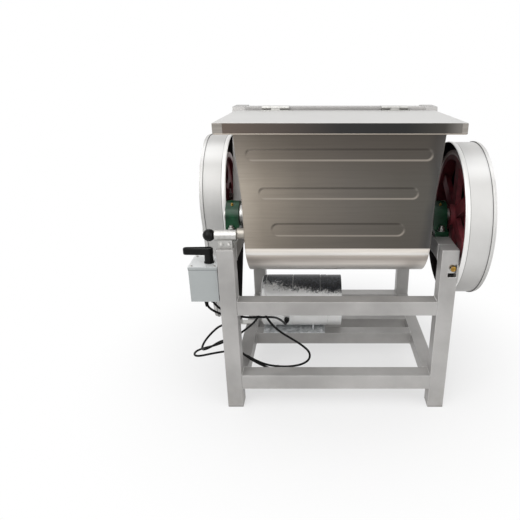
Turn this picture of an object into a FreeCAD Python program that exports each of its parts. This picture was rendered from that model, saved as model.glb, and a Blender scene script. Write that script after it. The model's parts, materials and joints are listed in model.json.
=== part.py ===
"""Dough mixer: a tilting stainless trough with a bent-bar agitator, on a welded frame of square tube.

A motor under the trough drives a countershaft through a belt on the left, and a pinion on the
countershaft drives the large gear on the agitator shaft on the right. The trough tips forward about
the agitator shaft, its lid folds back over a crossbeam, and a pull knob on the left post locks it.

Millimetres, +X to the right, +Y to the back, +Z up. Positions are laid out from the middle of the
frame, its front face and the floor, and DATUM_X and DATUM_Y move that layout so that the origin lies
under the middle of the whole machine without its cables.
"""
import FreeCAD, Part
import math
import os
import re

from FreeCAD import Rotation, Vector

doc = FreeCAD.newDocument("DoughMixer")

SIZES = {
    # frame of square tube
    "frameWidth": 700.0,
    "frameDepth": 650.0,
    "tubeSize": 50.0,
    "tubeWall": 3.0,
    "capThickness": 5.0,
    "postHeight": 546.0,
    "sideInset": 20.0,
    "railTube": 45.0,
    "upperRailDrop": 165.0,
    "lowerRailTop": 121.0,
    "motorRailInset": 270.0,
    "motorRailGap": 110.0,
    "windowDrop": 44.0,
    "windowHeight": 40.0,
    "windowWidth": 25.0,
    # shaft lines
    "shaftY": 196.0,
    "shaftRise": 50.0,
    "shaftRadius": 20.0,
    "runningGap": 0.06,
    "counterRadius": 15.0,
    "motorY": 350.0,
    "motorAxisRise": 98.0,
    # trough
    "troughInset": 79.0,
    "troughFlare": 13.0,
    "flareRise": 94.0,
    "bendRadius": 175.0,
    "creaseDrop": 55.0,
    "rimRise": 290.0,
    "rimFrontIn": 22.0,
    "rimRearOut": 10.0,
    "wrapWall": 2.0,
    "endWall": 3.0,
    "rimWidth": 12.0,
    "rimThick": 4.0,
    "flangeRadius": 85.0,
    "flangeThick": 8.0,
    "flangeHubRadius": 43.0,
    "flangeHubLength": 15.0,
    "flangeBoltCircle": 66.0,
    "lugRise": 20.0,
    "lugHeight": 60.0,
    "lugWidth": 40.0,
    "lugDepth": 24.0,
    # lid and its stand
    "lidInset": 19.0,
    "lidFront": -13.0,
    "lidDepth": 401.0,
    "lidGap": 15.0,
    "lidSkirt": 29.0,
    "lidSheet": 1.5,
    "hingeGap": 3.5,
    "hingeRise": 8.0,
    "hingeInset": 132.0,
    "hingeLength": 90.0,
    "hingeLeaf": 30.0,
    "leafThick": 2.0,
    "knuckleRadius": 5.0,
    "hingePinRadius": 2.5,
    "hingeClear": 0.5,
    "beamRise": 10.0,
    "standWidth": 45.0,
    "standBar": 45.0,
    "standWall": 5.0,
    "standSet": 8.0,
    "gussetDrop": 60.0,
    "braceFoot": 285.0,
    "uprightFoot": 495.0,
    # agitator
    "barRadius": 13.0,
    "barReach": 135.0,
    "barInset": 21.0,
    "barCross": 62.0,
    "barBend": 32.0,
    "hubRadius": 32.0,
    "hubHalf": 15.0,
    # gear train
    "toothModule": 4.0,
    "gearTeeth": 99.0,
    "pinionTeeth": 14.0,
    "gearWidth": 40.0,
    "gearClear": 11.0,
    "gearRim": 24.0,
    "gearHubRadius": 34.0,
    "spokeWidth": 40.0,
    "spokeThick": 16.0,
    # belt drive
    "bigPulley": 160.0,
    "smallPulley": 45.0,
    "pulleyWidth": 40.0,
    "pulleyClear": 24.0,
    "beltWidth": 13.0,
    "beltDepth": 9.0,
    "beltTaper": 0.34,
    "beltFit": 0.5,
    "beltPitch": 19.0,
    # bearings
    "blockHalf": 75.0,
    "smallBlockHalf": 70.0,
    "blockFoot": 16.0,
    "blockWidth": 42.0,
    "blockRadius": 45.0,
    "ringRadius": 26.0,
    "boltRadius": 6.0,
    # motor
    "motorRadius": 95.0,
    "motorInset": 82.0,
    "motorLength": 296.0,
    "cowlLength": 50.0,
    "motorWall": 4.0,
    "motorShaftRadius": 12.0,
    # covers
    "coverSheet": 2.0,
    "coverBead": 2.5,
    "coverClear": 3.0,
    "leftCoverDepth": 85.0,
    "leftCoverRadius": 204.0,
    "leftCoverRise": 16.0,
    "leftTipRadius": 62.0,
    "rightCoverDepth": 88.0,
    "rightCoverRoom": 38.0,
    "rightCoverY": 222.0,
    "rightCoverDrop": 18.0,
    "standoffDrop": 21.0,
    "standoffSpread": 168.0,
    "standoffRadius": 5.0,
    "bracketSheet": 4.0,
    # lock on the left post
    "lockY": 25.0,
    "lockRise": 38.0,
    "sleeveRadius": 16.0,
    "sleeveClear": 4.0,
    "sleeveLength": 62.0,
    "pinRadius": 8.0,
    "knobRadius": 18.0,
    "lockPlay": 0.5,
    "knobGap": 1.5,
    # switch box
    "boxClear": 4.0,
    "boxWidth": 84.0,
    "boxFront": 10.0,
    "boxDepth": 95.0,
    "boxDrop": 56.0,
    "boxHeight": 112.0,
    "leverInset": 29.0,
    "leverReach": 75.0,
    "leverTail": 14.0,
    "leverWidth": 20.0,
    # cables
    "cordRadius": 3.6,
    "glandRadius": 10.0,
    "glandLength": 16.0,
    "hookInset": 86.0,
    "hookReach": 45.0,
    "hookDrop": 39.0,
    "hookRadius": 4.0,
    "plugRadius": 18.0,
    "plugLength": 32.0,
}

# Places measured from the middle or the floor, each a clearance away from what carries it.
PLACES = {
    "frameHalf": "(frameWidth / 2)",
    "upperRailTop": "(postHeight - upperRailDrop)",
    "troughHalf": "(frameHalf - troughInset)",
    "barHalf": "(troughHalf - barInset)",
    "lidHalf": "(frameHalf - lidInset)",
    "hingeX": "(lidHalf - hingeInset)",
    "lidTop": "(postHeight + shaftRise + rimRise + lidGap)",
    "beamTop": "(lidTop + beamRise)",
    "gearNear": "(frameHalf + gearClear)",
    "pulleyNear": "(frameHalf + pulleyClear)",
    "motorLeft": "(frameHalf - motorInset)",
    "coverNear": "(frameHalf + coverClear)",
    "leftCoverOuter": "(coverNear + leftCoverDepth)",
    "rightCoverOuter": "(coverNear + rightCoverDepth)",
    "sleeveLeft": "(frameHalf + sleeveClear)",
    "sleeveRight": "(sleeveLeft - sleeveLength)",
    "boxNear": "(frameHalf + boxClear)",
    "boxTop": "(postHeight - boxDrop)",
    "leverX": "(boxNear + leverInset)",
    "hookX": "(frameHalf - hookInset)",
    "gearTip": "(toothModule * (gearTeeth / 2 + 1))",
    "rightCoverRadius": "(gearTip + rightCoverRoom)",
}

sheet = doc.addObject("Spreadsheet::Sheet", "Sizes")
for row, (alias, value) in enumerate(SIZES.items(), start=1):
    sheet.set(f"A{row}", alias)
    sheet.set(f"B{row}", str(value))
    sheet.setAlias(f"B{row}", alias)
doc.recompute()

DATUM_X = "(leverX + leverReach - rightCoverOuter) / 2"
FRONT_REACH = "(rightCoverRadius + coverBead - rightCoverY)"
DATUM_Y = f"(-(frameDepth - {FRONT_REACH}) / 2)"

# Places that several pieces share, written with the names of the sheet.
SHAFT_Z = "(postHeight + shaftRise)"
CENTRES = "(toothModule * (gearTeeth + pinionTeeth) / 2)"
COUNTER_Y = f"(shaftY + {CENTRES})"
MOTOR_Z = "(lowerRailTop + motorAxisRise)"
BEAM_X = "((frameWidth - tubeSize) / 2)"
CREASE_Z = f"({SHAFT_Z} - creaseDrop)"
CREASE_HALF = "sqrt(bendRadius ^ 2 - creaseDrop ^ 2)"
FLARE_Z = f"({SHAFT_Z} + flareRise)"
RIM_Z = f"({SHAFT_Z} + rimRise)"
LID_REAR = "(lidFront + lidDepth)"
HINGE_Y = f"({LID_REAR} + hingeGap)"
HINGE_Z = "(lidTop + hingeRise)"
CROSS_Y = f"({HINGE_Y} + knuckleRadius + hingeClear)"
PULLEY_MID = "(pulleyNear + pulleyWidth / 2)"
LEFT_COVER_Z = f"({SHAFT_Z} + leftCoverRise)"
RIGHT_COVER_Z = f"({SHAFT_Z} - rightCoverDrop)"
LOCK_Z = "(postHeight + lockRise)"
LEFT, RIGHT = -1, 1


def link(text):
    """Spell out the places in an expression, and point every size name at the sheet."""
    def spell(match):
        word = match.group()
        if word in PLACES:
            return link(PLACES[word])
        return f"Sizes.{word}" if word in SIZES else word
    return re.sub(r"[A-Za-z_]\w*", spell, text)


def size(text):
    """The value of an expression of size names, for the few shapes that are set as a Shape."""
    words = link(text)
    sheet.set("D1", "=" + words.replace("Sizes.", ""))
    doc.recompute([sheet])
    result = sheet.get("D1")
    return float(getattr(result, "Value", result))


def bind(item, **values):
    for name, text in values.items():
        item.setExpression(name.replace("__", "."), link(str(text)))
    return item


def place(item, x, y, z, turn=None):
    if turn:
        item.Placement.Rotation = turn
    bind(item, Placement__Base__x=f"{DATUM_X} + ({x})", Placement__Base__y=f"{DATUM_Y} + ({y})",
         Placement__Base__z=z)
    return item


def block(x, y, z, length, width, height):
    """A box by its middle in X and its low corner in Y and Z."""
    item = doc.addObject("Part::Box", "Block")
    bind(item, Length=length, Width=width, Height=height)
    return place(item, f"({x}) - ({length}) / 2", y, z)


ALONG = {"x": Rotation(Vector(0, 1, 0), 90), "y": Rotation(Vector(1, 0, 0), -90), "z": Rotation()}


def rod(x, y, z, radius, length, along="x"):
    """A cylinder from a start point along +X, +Y or +Z."""
    item = doc.addObject("Part::Cylinder", "Rod")
    bind(item, Radius=radius, Height=length)
    return place(item, x, y, z, ALONG[along])


def cone(x, y, z, radius, end_radius, length, along="x"):
    item = doc.addObject("Part::Cone", "Cone")
    bind(item, Radius1=radius, Radius2=end_radius, Height=length)
    return place(item, x, y, z, ALONG[along])


def nut(x, y, z, radius, length, along="x"):
    """A hexagon by its radius over the corners."""
    item = doc.addObject("Part::Prism", "Nut")
    item.Polygon = 6
    bind(item, Circumradius=radius, Height=length)
    return place(item, x, y, z, ALONG[along])


def ball(x, y, z, radius):
    item = doc.addObject("Part::Sphere", "Ball")
    bind(item, Radius=radius)
    return place(item, x, y, z)


def slab(low, high, half_low, half_high, front_low, rear_low, front_high, rear_high, x="0"):
    """A wedge between two heights, symmetrical about x, whose front and rear may lean."""
    item = doc.addObject("Part::Wedge", "Slab")
    bind(item, Ymin="0", Ymax=f"({high}) - ({low})",
         Xmin=f"-({half_low})", Xmax=half_low, X2min=f"-({half_high})", X2max=half_high,
         Zmin=f"-({rear_low})", Zmax=f"-({front_low})", Z2min=f"-({rear_high})", Z2max=f"-({front_high})")
    return place(item, x, "0", low, Rotation(Vector(1, 0, 0), 90))


def cut(base, *tools, label=None):
    for tool in tools:
        item = doc.addObject("Part::Cut", "Cut")
        item.Base, item.Tool = base, tool
        base = item
    return name(base, label)


def fuse(*pieces, label=None):
    item = doc.addObject("Part::MultiFuse", "Fuse")
    item.Shapes = list(pieces)
    item.Refine = True
    return name(item, label)


def common(*pieces, label=None):
    item = doc.addObject("Part::MultiCommon", "Common")
    item.Shapes = list(pieces)
    return name(item, label)


def group(*pieces, label=None):
    """Separate solids in one node."""
    item = doc.addObject("Part::Compound", "Group")
    item.Links = list(pieces)
    return name(item, label)


NODES = {}


def name(item, label):
    if label:
        item.Label = label
        NODES[label] = item
    return item


def shaped(label, shape):
    """A sub-part whose shape is worked out below from the sheet's sizes."""
    item = doc.addObject("Part::Feature", label)
    item.Shape = shape
    return name(item, label)


def spot(x, y, z):
    """A layout point as a vector in the model's own frame."""
    return Vector(size(f"{DATUM_X} + ({x})"), size(f"{DATUM_Y} + ({y})"), size(z))


# Frame: four legs of square tube with closed feet

def leg(label, x, y, extra=()):
    outer = block(x, y, "0", "tubeSize", "tubeSize", "postHeight")
    bore = block(x, f"({y}) + tubeWall", "capThickness", "tubeSize - 2 * tubeWall",
                 "tubeSize - 2 * tubeWall", "postHeight - 2 * capThickness")
    return cut(outer, bore, *extra, label=label)


WINDOW_Z = "(postHeight - windowDrop - windowHeight)"
window = block(f"{BEAM_X} + tubeSize / 2 - tubeWall - windowWidth / 2", "-tubeWall", WINDOW_Z,
               "windowWidth", "3 * tubeWall", "windowHeight")
REAR_X = "((frameWidth - tubeSize) / 2 - sideInset)"
REAR_Y = "(frameDepth - tubeSize)"
leg("front_left_leg", f"-{BEAM_X}", "0")
leg("front_right_leg", BEAM_X, "0", [window])


def rear_leg(label, side):
    x = f"{side} * {REAR_X}"
    outer = block(x, REAR_Y, "0", "tubeSize", "tubeSize", "postHeight - tubeSize")
    bore = block(x, f"{REAR_Y} + tubeWall", "capThickness", "tubeSize - 2 * tubeWall",
                 "tubeSize - 2 * tubeWall", "postHeight - tubeSize - 2 * capThickness")
    return cut(outer, bore, label=label)


rear_leg("rear_left_leg", LEFT)
rear_leg("rear_right_leg", RIGHT)


def tube_along_y(label, x, top, width, start, end):
    outer = block(x, start, f"({top}) - ({width})", width, f"({end}) - ({start})", width)
    bore = block(x, f"({start}) - 1", f"({top}) - ({width}) + tubeWall", f"({width}) - 2 * tubeWall",
                 f"({end}) - ({start}) + 2", f"({width}) - 2 * tubeWall")
    return cut(outer, bore, label=label)


def tube_along_x(label, y, top, width, half):
    outer = block("0", y, f"({top}) - ({width})", f"2 * ({half})", width, width)
    bore = block("0", f"({y}) + tubeWall", f"({top}) - ({width}) + tubeWall", f"2 * ({half}) + 2",
                 f"({width}) - 2 * tubeWall", f"({width}) - 2 * tubeWall")
    return cut(outer, bore, label=label)


BETWEEN_POSTS = "(frameHalf - tubeSize)"
BETWEEN_REAR = f"({REAR_X} - tubeSize / 2)"
SIDE_RAIL_X = "(frameHalf - sideInset - railTube / 2)"
BETWEEN_SIDES = f"({SIDE_RAIL_X} - railTube / 2)"
for side, word in ((LEFT, "left"), (RIGHT, "right")):
    tube_along_y(f"{word}_bearing_beam", f"{side} * {BEAM_X}", "postHeight", "tubeSize", "tubeSize", "frameDepth")
    tube_along_y(f"{word}_lower_side_rail", f"{side} * {SIDE_RAIL_X}", "lowerRailTop", "railTube",
                 "tubeSize", REAR_Y)
tube_along_x("front_upper_rail", "0", "upperRailTop", "railTube", BETWEEN_POSTS)
tube_along_x("front_lower_rail", "0", "lowerRailTop", "tubeSize", BETWEEN_POSTS)
tube_along_x("rear_lower_rail", REAR_Y, "lowerRailTop", "tubeSize", BETWEEN_REAR)
tube_along_x("rear_upper_rail", REAR_Y, "postHeight", "tubeSize", BETWEEN_POSTS)
MOTOR_RAIL_REAR = "(motorRailInset + motorRailGap)"
tube_along_x("front_motor_rail", "motorRailInset", "lowerRailTop", "railTube", BETWEEN_SIDES)
tube_along_x("rear_motor_rail", MOTOR_RAIL_REAR, "lowerRailTop", "railTube", BETWEEN_SIDES)


# Stands that carry the crossbeam behind the lid

STAND_X = "(frameHalf - tubeSize + standWidth / 2)"
HALF_STAND = "(standWidth / 2)"


def angle_bar(x, side, foot, top, wall_behind):
    """An angle bar that leans from the beam to the crossbeam's height, one wall on its inner side."""
    rear = "standBar"
    bar = slab("postHeight", "beamTop", HALF_STAND, HALF_STAND, foot, f"{foot} + {rear}", top, f"{top} + {rear}", x=x)
    shift = "(-standWall)" if wall_behind else "standWall"
    room = slab("postHeight", "beamTop", HALF_STAND, HALF_STAND, f"{foot} + {shift}", f"{foot} + {rear} + {shift}",
                f"{top} + {shift}", f"{top} + {rear} + {shift}", x=f"{x} + {side} * standWall")
    return cut(bar, room)


def lid_stand(label, side):
    x = f"{side} * {STAND_X}"
    top = f"({CROSS_Y} + standSet)"
    brace = angle_bar(x, side, "braceFoot", top, False)
    upright = angle_bar(x, side, "uprightFoot", f"({top} + standBar)", True)
    inner = f"{side} * ({STAND_X} - {HALF_STAND} + standWall / 2)"
    gusset = block(inner, f"{top} + standBar - 25", "beamTop - gussetDrop", "standWall", "40", "gussetDrop")
    cap = block(x, top, "beamTop - standWall", "standWidth", "2 * standBar", "standWall")
    return fuse(brace, upright, gusset, cap, label=label)


lid_stand("left_lid_stand", LEFT)
lid_stand("right_lid_stand", RIGHT)
tube_along_x("lid_crossbeam", CROSS_Y, "beamTop", "tubeSize", BETWEEN_POSTS)


# Lid: a shallow sheet tray, open to the rear, on two butt hinges

def make_lid():
    top = block("0", "lidFront", "lidTop - lidSheet", "2 * lidHalf", "lidDepth", "lidSheet")
    low = "lidTop - lidSkirt"
    front = block("0", "lidFront", low, "2 * lidHalf", "lidSheet", "lidSkirt")
    skirts = [block(f"{side} * (lidHalf - lidSheet / 2)", "lidFront", low, "lidSheet", "lidDepth", "lidSkirt")
              for side in (LEFT, RIGHT)]
    return fuse(top, front, *skirts, label="lid")


make_lid()
SEGMENT = "(hingeLength / 3)"
SEGMENT_GAP = "0.3"


def knuckle(x, length):
    start = f"({x}) - ({length}) / 2"
    return rod(start, HINGE_Y, HINGE_Z, "knuckleRadius", length)


def fixed_leaf(side):
    x = f"{side} * hingeX"
    leaf = block(x, CROSS_Y, "beamTop", "hingeLength",
                 "hingeLeaf", "leafThick")
    pieces = [leaf]
    for end in (LEFT, RIGHT):
        at = f"{x} + {end} * {SEGMENT}"
        length = f"{SEGMENT} - {SEGMENT_GAP}"
        pieces.append(knuckle(at, length))
        pieces.append(block(at, HINGE_Y, "beamTop", length, "knuckleRadius + 2", "leafThick"))
    solid = fuse(*pieces)
    pin = rod(f"{x} - hingeLength / 2", HINGE_Y, HINGE_Z, "hingePinRadius", "hingeLength")
    return fuse(solid, pin)


def lid_leaf(side):
    x = f"{side} * hingeX"
    leaf = block(x, f"{HINGE_Y} - knuckleRadius - hingeLeaf", "lidTop", "hingeLength", "hingeLeaf", "leafThick")
    length = f"{SEGMENT} - {SEGMENT_GAP}"
    web = block(x, f"{HINGE_Y} - knuckleRadius", "lidTop", length, "knuckleRadius", f"{HINGE_Z} - lidTop")
    bore = rod(f"{x} - hingeLength / 2", HINGE_Y, HINGE_Z, "hingePinRadius + runningGap", "hingeLength")
    solid = fuse(leaf, web, knuckle(x, length))
    return cut(solid, bore)


group(fixed_leaf(LEFT), fixed_leaf(RIGHT), label="hinge_beam_leaves")
group(lid_leaf(LEFT), lid_leaf(RIGHT), label="hinge_lid_leaves")


# Trough: a wrap of sheet between two flared end plates, with a folded rim

CREASE_FRONT = f"(shaftY - {CREASE_HALF})"
CREASE_REAR = f"(shaftY + {CREASE_HALF})"
RIM_FRONT = f"({CREASE_FRONT} - rimFrontIn)"
RIM_REAR = f"({CREASE_REAR} + rimRearOut)"
PANEL_RISE = "(rimRise + creaseDrop)"
FLARE_SHARE = f"((flareRise + creaseDrop) / {PANEL_RISE})"
FLARE_FRONT = f"({CREASE_FRONT} - rimFrontIn * {FLARE_SHARE})"
FLARE_REAR = f"({CREASE_REAR} + rimRearOut * {FLARE_SHARE})"
RIM_HALF = "(troughHalf + troughFlare)"


def bend(radius, half):
    """The round bottom, up to the crease."""
    drum = rod(f"-({half})", "shaftY", SHAFT_Z, radius, f"2 * ({half})")
    keep = block("0", "shaftY - 2 * bendRadius", f"{SHAFT_Z} - 2 * bendRadius", f"2 * ({half})",
                 "4 * bendRadius", "2 * bendRadius - creaseDrop")
    return common(drum, keep)


def trough_outside():
    lower = slab(CREASE_Z, FLARE_Z, "troughHalf", "troughHalf", CREASE_FRONT, CREASE_REAR,
                 FLARE_FRONT, FLARE_REAR)
    upper = slab(FLARE_Z, RIM_Z, "troughHalf", RIM_HALF, FLARE_FRONT, FLARE_REAR, RIM_FRONT, RIM_REAR)
    return fuse(bend("bendRadius", "troughHalf"), lower, upper)


def trough_inside():
    wide = "(2 * troughHalf)"
    panel = slab(CREASE_Z, RIM_Z, wide, wide, f"{CREASE_FRONT} + wrapWall", f"{CREASE_REAR} - wrapWall",
                 f"{RIM_FRONT} + wrapWall", f"{RIM_REAR} - wrapWall")
    return fuse(bend("bendRadius - wrapWall", wide), panel)


def between_ends():
    half = "(troughHalf - endWall)"
    low = block("0", "shaftY - 2 * bendRadius", "0", f"2 * {half}", "4 * bendRadius", FLARE_Z)
    front, rear = "shaftY - 2 * bendRadius", "shaftY + 2 * bendRadius"
    high = slab(FLARE_Z, RIM_Z, half, f"{half} + troughFlare", front, rear, front, rear)
    return fuse(low, high)


cut(common(trough_outside(), between_ends()), trough_inside(), label="trough_wrap")


def end_plate(label, side):
    keep = block(f"{side} * 1.5 * troughHalf", "shaftY - 2 * bendRadius", "0", "2 * troughHalf",
                 "4 * bendRadius", "2 * lidTop")
    shaft_hole = rod(f"{side} * troughHalf - 20", "shaftY", SHAFT_Z, "flangeHubRadius / 2", "40")
    return cut(common(trough_outside(), keep), between_ends(), shaft_hole, label=label)


end_plate("trough_left_end", LEFT)
end_plate("trough_right_end", RIGHT)


def trough_rim():
    outer = block("0", f"{RIM_FRONT} - rimWidth", RIM_Z, f"2 * ({RIM_HALF} + rimWidth)",
                  f"{RIM_REAR} - {RIM_FRONT} + 2 * rimWidth", "rimThick")
    hole = block("0", f"{RIM_FRONT} + wrapWall", f"{RIM_Z} - 1", f"2 * ({RIM_HALF} - endWall)",
                 f"{RIM_REAR} - {RIM_FRONT} - 2 * wrapWall", "rimThick + 2")
    return cut(outer, hole, label="trough_rim")


trough_rim()


def trough_flange(label, side):
    start = "troughHalf" if side == RIGHT else "(-troughHalf - flangeThick)"
    disc = rod(start, "shaftY", SHAFT_Z, "flangeRadius", "flangeThick")
    hub_start = "(troughHalf + flangeThick)" if side == RIGHT else "(-troughHalf - flangeThick - flangeHubLength)"
    hub = rod(hub_start, "shaftY", SHAFT_Z, "flangeHubRadius", "flangeHubLength")
    neck_start = "(troughHalf - endWall)" if side == RIGHT else "(-troughHalf)"
    neck = rod(neck_start, "shaftY", SHAFT_Z, "flangeHubRadius / 2", "endWall")
    bore = rod(f"{side} * troughHalf - 60", "shaftY", SHAFT_Z, "shaftRadius + runningGap", "120")
    return cut(fuse(disc, hub, neck), bore, label=label)


trough_flange("left_trough_flange", LEFT)
trough_flange("right_trough_flange", RIGHT)


HEAD = "(0.9 * boltRadius)"


def flange_bolt_heads(side):
    start = "troughHalf + flangeThick" if side == RIGHT else f"-troughHalf - flangeThick - {HEAD}"
    heads = []
    for step in range(4):
        turn = math.radians(30 + 90 * step)
        y = f"shaftY + flangeBoltCircle * {math.cos(turn):.6f}"
        z = f"{SHAFT_Z} + flangeBoltCircle * {math.sin(turn):.6f}"
        heads.append(nut(start, y, z, "1.6 * boltRadius", HEAD))
    return heads


group(*flange_bolt_heads(LEFT), *flange_bolt_heads(RIGHT), label="flange_bolts")

BOSS_LENGTH = "(sleeveRight - troughHalf - lockPlay)"


def lock_boss():
    """The socket on the trough's end that the lock pin points at."""
    y = "lockY + sleeveRadius"
    body = rod(f"-troughHalf - {BOSS_LENGTH}", y, LOCK_Z, "sleeveRadius", BOSS_LENGTH)
    keep = block("-troughHalf", "lockY", f"{LOCK_Z} - 2 * sleeveRadius", f"4 * {BOSS_LENGTH}",
                 "3 * sleeveRadius", "4 * sleeveRadius")
    hole = rod("-sleeveRight", y, LOCK_Z, "pinRadius + lockPlay", f"{BOSS_LENGTH} - 6")
    return cut(common(body, keep), hole, label="lock_boss")


lock_boss()


def rear_lug():
    """The lug on the back of the trough, seated on its leaning wall."""
    low, high = f"({SHAFT_Z} + lugRise)", f"({SHAFT_Z} + lugRise + lugHeight)"
    lean = f"rimRearOut / {PANEL_RISE}"
    front_low = f"({CREASE_REAR} + ({low} - {CREASE_Z}) * {lean})"
    front_high = f"({CREASE_REAR} + ({high} - {CREASE_Z}) * {lean})"
    return slab(low, high, "lugWidth / 2", "lugWidth / 2", front_low, f"{front_low} + lugDepth",
                front_high, f"{front_high} + lugDepth", x="-troughHalf + lugWidth")


name(rear_lug(), "rear_lug")


# Agitator: two bent bars between driving hubs, on stub shafts

def bent_bar(turn):
    """One Z-shaped bar: out from the left hub, along, across the axis, along and in."""
    reach, half, cross = size("barReach"), size("barHalf"), size("barCross")
    centre = spot("0", "shaftY", SHAFT_Z)
    out = Vector(0, math.cos(turn), math.sin(turn))
    corners = [Vector(-half, 0, 0), Vector(-half, 0, 0) + out * reach, Vector(-cross, 0, 0) + out * reach,
               Vector(cross, 0, 0) - out * reach, Vector(half, 0, 0) - out * reach, Vector(half, 0, 0)]
    return round_tube([centre + p for p in corners], size("barRadius"), size("barBend"))


def round_tube(points, radius, bend_radius=None, share=0.45):
    """A tube along straight runs joined by tangent arcs, each as large as its runs allow."""
    edges, start, radii = [], points[0], []
    for before, corner, after in zip(points, points[1:], points[2:]):
        into, away = (corner - before), (after - corner)
        shorter = min(into.Length, away.Length)
        into.normalize()
        away.normalize()
        half_turn = into.getAngle(away) / 2
        arc = share * shorter / math.tan(half_turn) if bend_radius is None else bend_radius
        back = arc * math.tan(half_turn)
        first, last = corner - into * back, corner + away * back
        inward = away - into
        inward.normalize()
        middle = corner + inward * (arc / math.cos(half_turn) - arc)
        edges.append(Part.LineSegment(start, first).toShape())
        edges.append(Part.Arc(first, middle, last).toShape())
        start = last
        radii.append(arc)
    edges.append(Part.LineSegment(start, points[-1]).toShape())
    wire = Part.Wire(edges)
    direction = points[1] - points[0]
    profile = Part.Wire([Part.Circle(points[0], direction, radius).toShape()])
    tube = wire.makePipeShell([profile], True, True)
    expected = math.pi * radius ** 2 * wire.Length
    return tube, radii, tube.Volume / expected


def agitator_hub(side):
    return Part.makeCylinder(size("hubRadius"), 2 * size("hubHalf"),
                             spot(f"{side} * barHalf - hubHalf", "shaftY", SHAFT_Z), Vector(1, 0, 0))


bars = [bent_bar(turn)[0] for turn in (math.radians(70), math.radians(160))]
shaped("agitator_bars", bars[0].fuse([bars[1], agitator_hub(LEFT), agitator_hub(RIGHT)]))

HUB_FACE = "(barHalf + hubHalf)"
INSERT_HALF = "(blockWidth / 2 + 4)"
name(rod(f"-{BEAM_X} - {INSERT_HALF} - 3", "shaftY", SHAFT_Z, "shaftRadius",
         f"{BEAM_X} + {INSERT_HALF} + 3 - {HUB_FACE}"), "left_stub_shaft")
name(rod(HUB_FACE, "shaftY", SHAFT_Z, "shaftRadius", f"gearNear + gearWidth + 6 - {HUB_FACE}"),
     "right_drive_shaft")


def inner_ring(side):
    body = rod(f"{side} * {BEAM_X} - {INSERT_HALF}", "shaftY", SHAFT_Z, "ringRadius", f"2 * {INSERT_HALF}")
    bore = rod(f"{side} * {BEAM_X} - 60", "shaftY", SHAFT_Z, "shaftRadius", "120")
    return cut(body, bore)


group(inner_ring(LEFT), inner_ring(RIGHT), label="bearing_inner_rings")


# Gear train on the right

TIP_SHARE, PITCH_SHARE, ROOT_SHARE = 0.2, 0.42, 0.58


def toothed_outline(teeth, module, centre, phase):
    """A closed wire of straight-flanked teeth, thinned for backlash."""
    pitch = teeth * module / 2
    rings = ((pitch - 1.25 * module, ROOT_SHARE), (pitch, PITCH_SHARE), (pitch + module, TIP_SHARE))
    step = 2 * math.pi / teeth
    points = []
    for tooth in range(teeth):
        middle = phase + tooth * step
        flank = [(radius, share * step / 2) for radius, share in rings]
        for radius, half in flank:
            points.append((radius, middle - half))
        for radius, half in reversed(flank):
            points.append((radius, middle + half))
    corners = [centre + Vector(0, radius * math.cos(a), radius * math.sin(a)) for radius, a in points]
    return Part.makePolygon(corners + corners[:1])


def toothed_disc(teeth, centre, width, phase):
    face = Part.Face(toothed_outline(teeth, size("toothModule"), centre, phase))
    return face.extrude(Vector(width, 0, 0))


def gear_wheel():
    width = size("gearWidth")
    centre = spot("gearNear", "shaftY", SHAFT_Z)
    axis = Vector(1, 0, 0)
    body = toothed_disc(round(size("gearTeeth")), centre, width, 0.0)
    root = size("toothModule * (gearTeeth / 2 - 1.25)")
    inner = root - size("gearRim") + size("toothModule")
    body = body.cut(Part.makeCylinder(inner, width, centre, axis))
    hub = Part.makeCylinder(size("gearHubRadius"), width + 4, centre - axis * 2, axis)
    spokes = []
    thick, wide = size("spokeThick"), size("spokeWidth")
    for step in range(6):
        spoke = Part.makeBox(thick, inner + 2, wide, centre + Vector((width - thick) / 2, 0, -wide / 2))
        spoke.rotate(centre, axis, 60 * step + 30)
        spokes.append(spoke)
    body = body.fuse([hub] + spokes)
    return body.cut(Part.makeCylinder(size("shaftRadius"), 3 * width, centre - axis * width, axis))


shaped("gear_wheel", gear_wheel())


def pinion():
    width = size("gearWidth")
    centre = spot("gearNear", COUNTER_Y, SHAFT_Z)
    teeth = round(size("pinionTeeth"))
    phase = math.pi + math.pi / teeth
    body = toothed_disc(teeth, centre, width, phase)
    return body.cut(Part.makeCylinder(size("counterRadius"), 3 * width, centre - Vector(width, 0, 0), Vector(1, 0, 0)))


shaped("drive_pinion", pinion())

PULLEY_OUT = "(pulleyNear + pulleyWidth)"
name(rod(f"-{PULLEY_OUT} - 4", COUNTER_Y, SHAFT_Z, "counterRadius", f"{PULLEY_OUT} + gearNear + gearWidth + 8"),
     "countershaft")


# Belt drive on the left

def groove(y, z, radius, x):
    """The ring that a V groove takes out of a pulley of the given radius."""
    mouth = "(beltWidth / 2 + beltFit + beltTaper)"
    foot = f"({mouth} - (beltDepth + 3) * beltTaper)"
    core = f"({radius} - beltDepth - 2)"
    left = cone(f"{x} - {mouth}", y, z, f"{radius} + 1", core, f"{mouth} - {foot}")
    floor = rod(f"{x} - {foot}", y, z, core, f"2 * {foot}")
    right = cone(f"{x} + {foot}", y, z, core, f"{radius} + 1", f"{mouth} - {foot}")
    disc = rod(f"{x} - {mouth}", y, z, f"{radius} + 2", f"2 * {mouth}")
    return cut(disc, fuse(left, floor, right))


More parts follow.
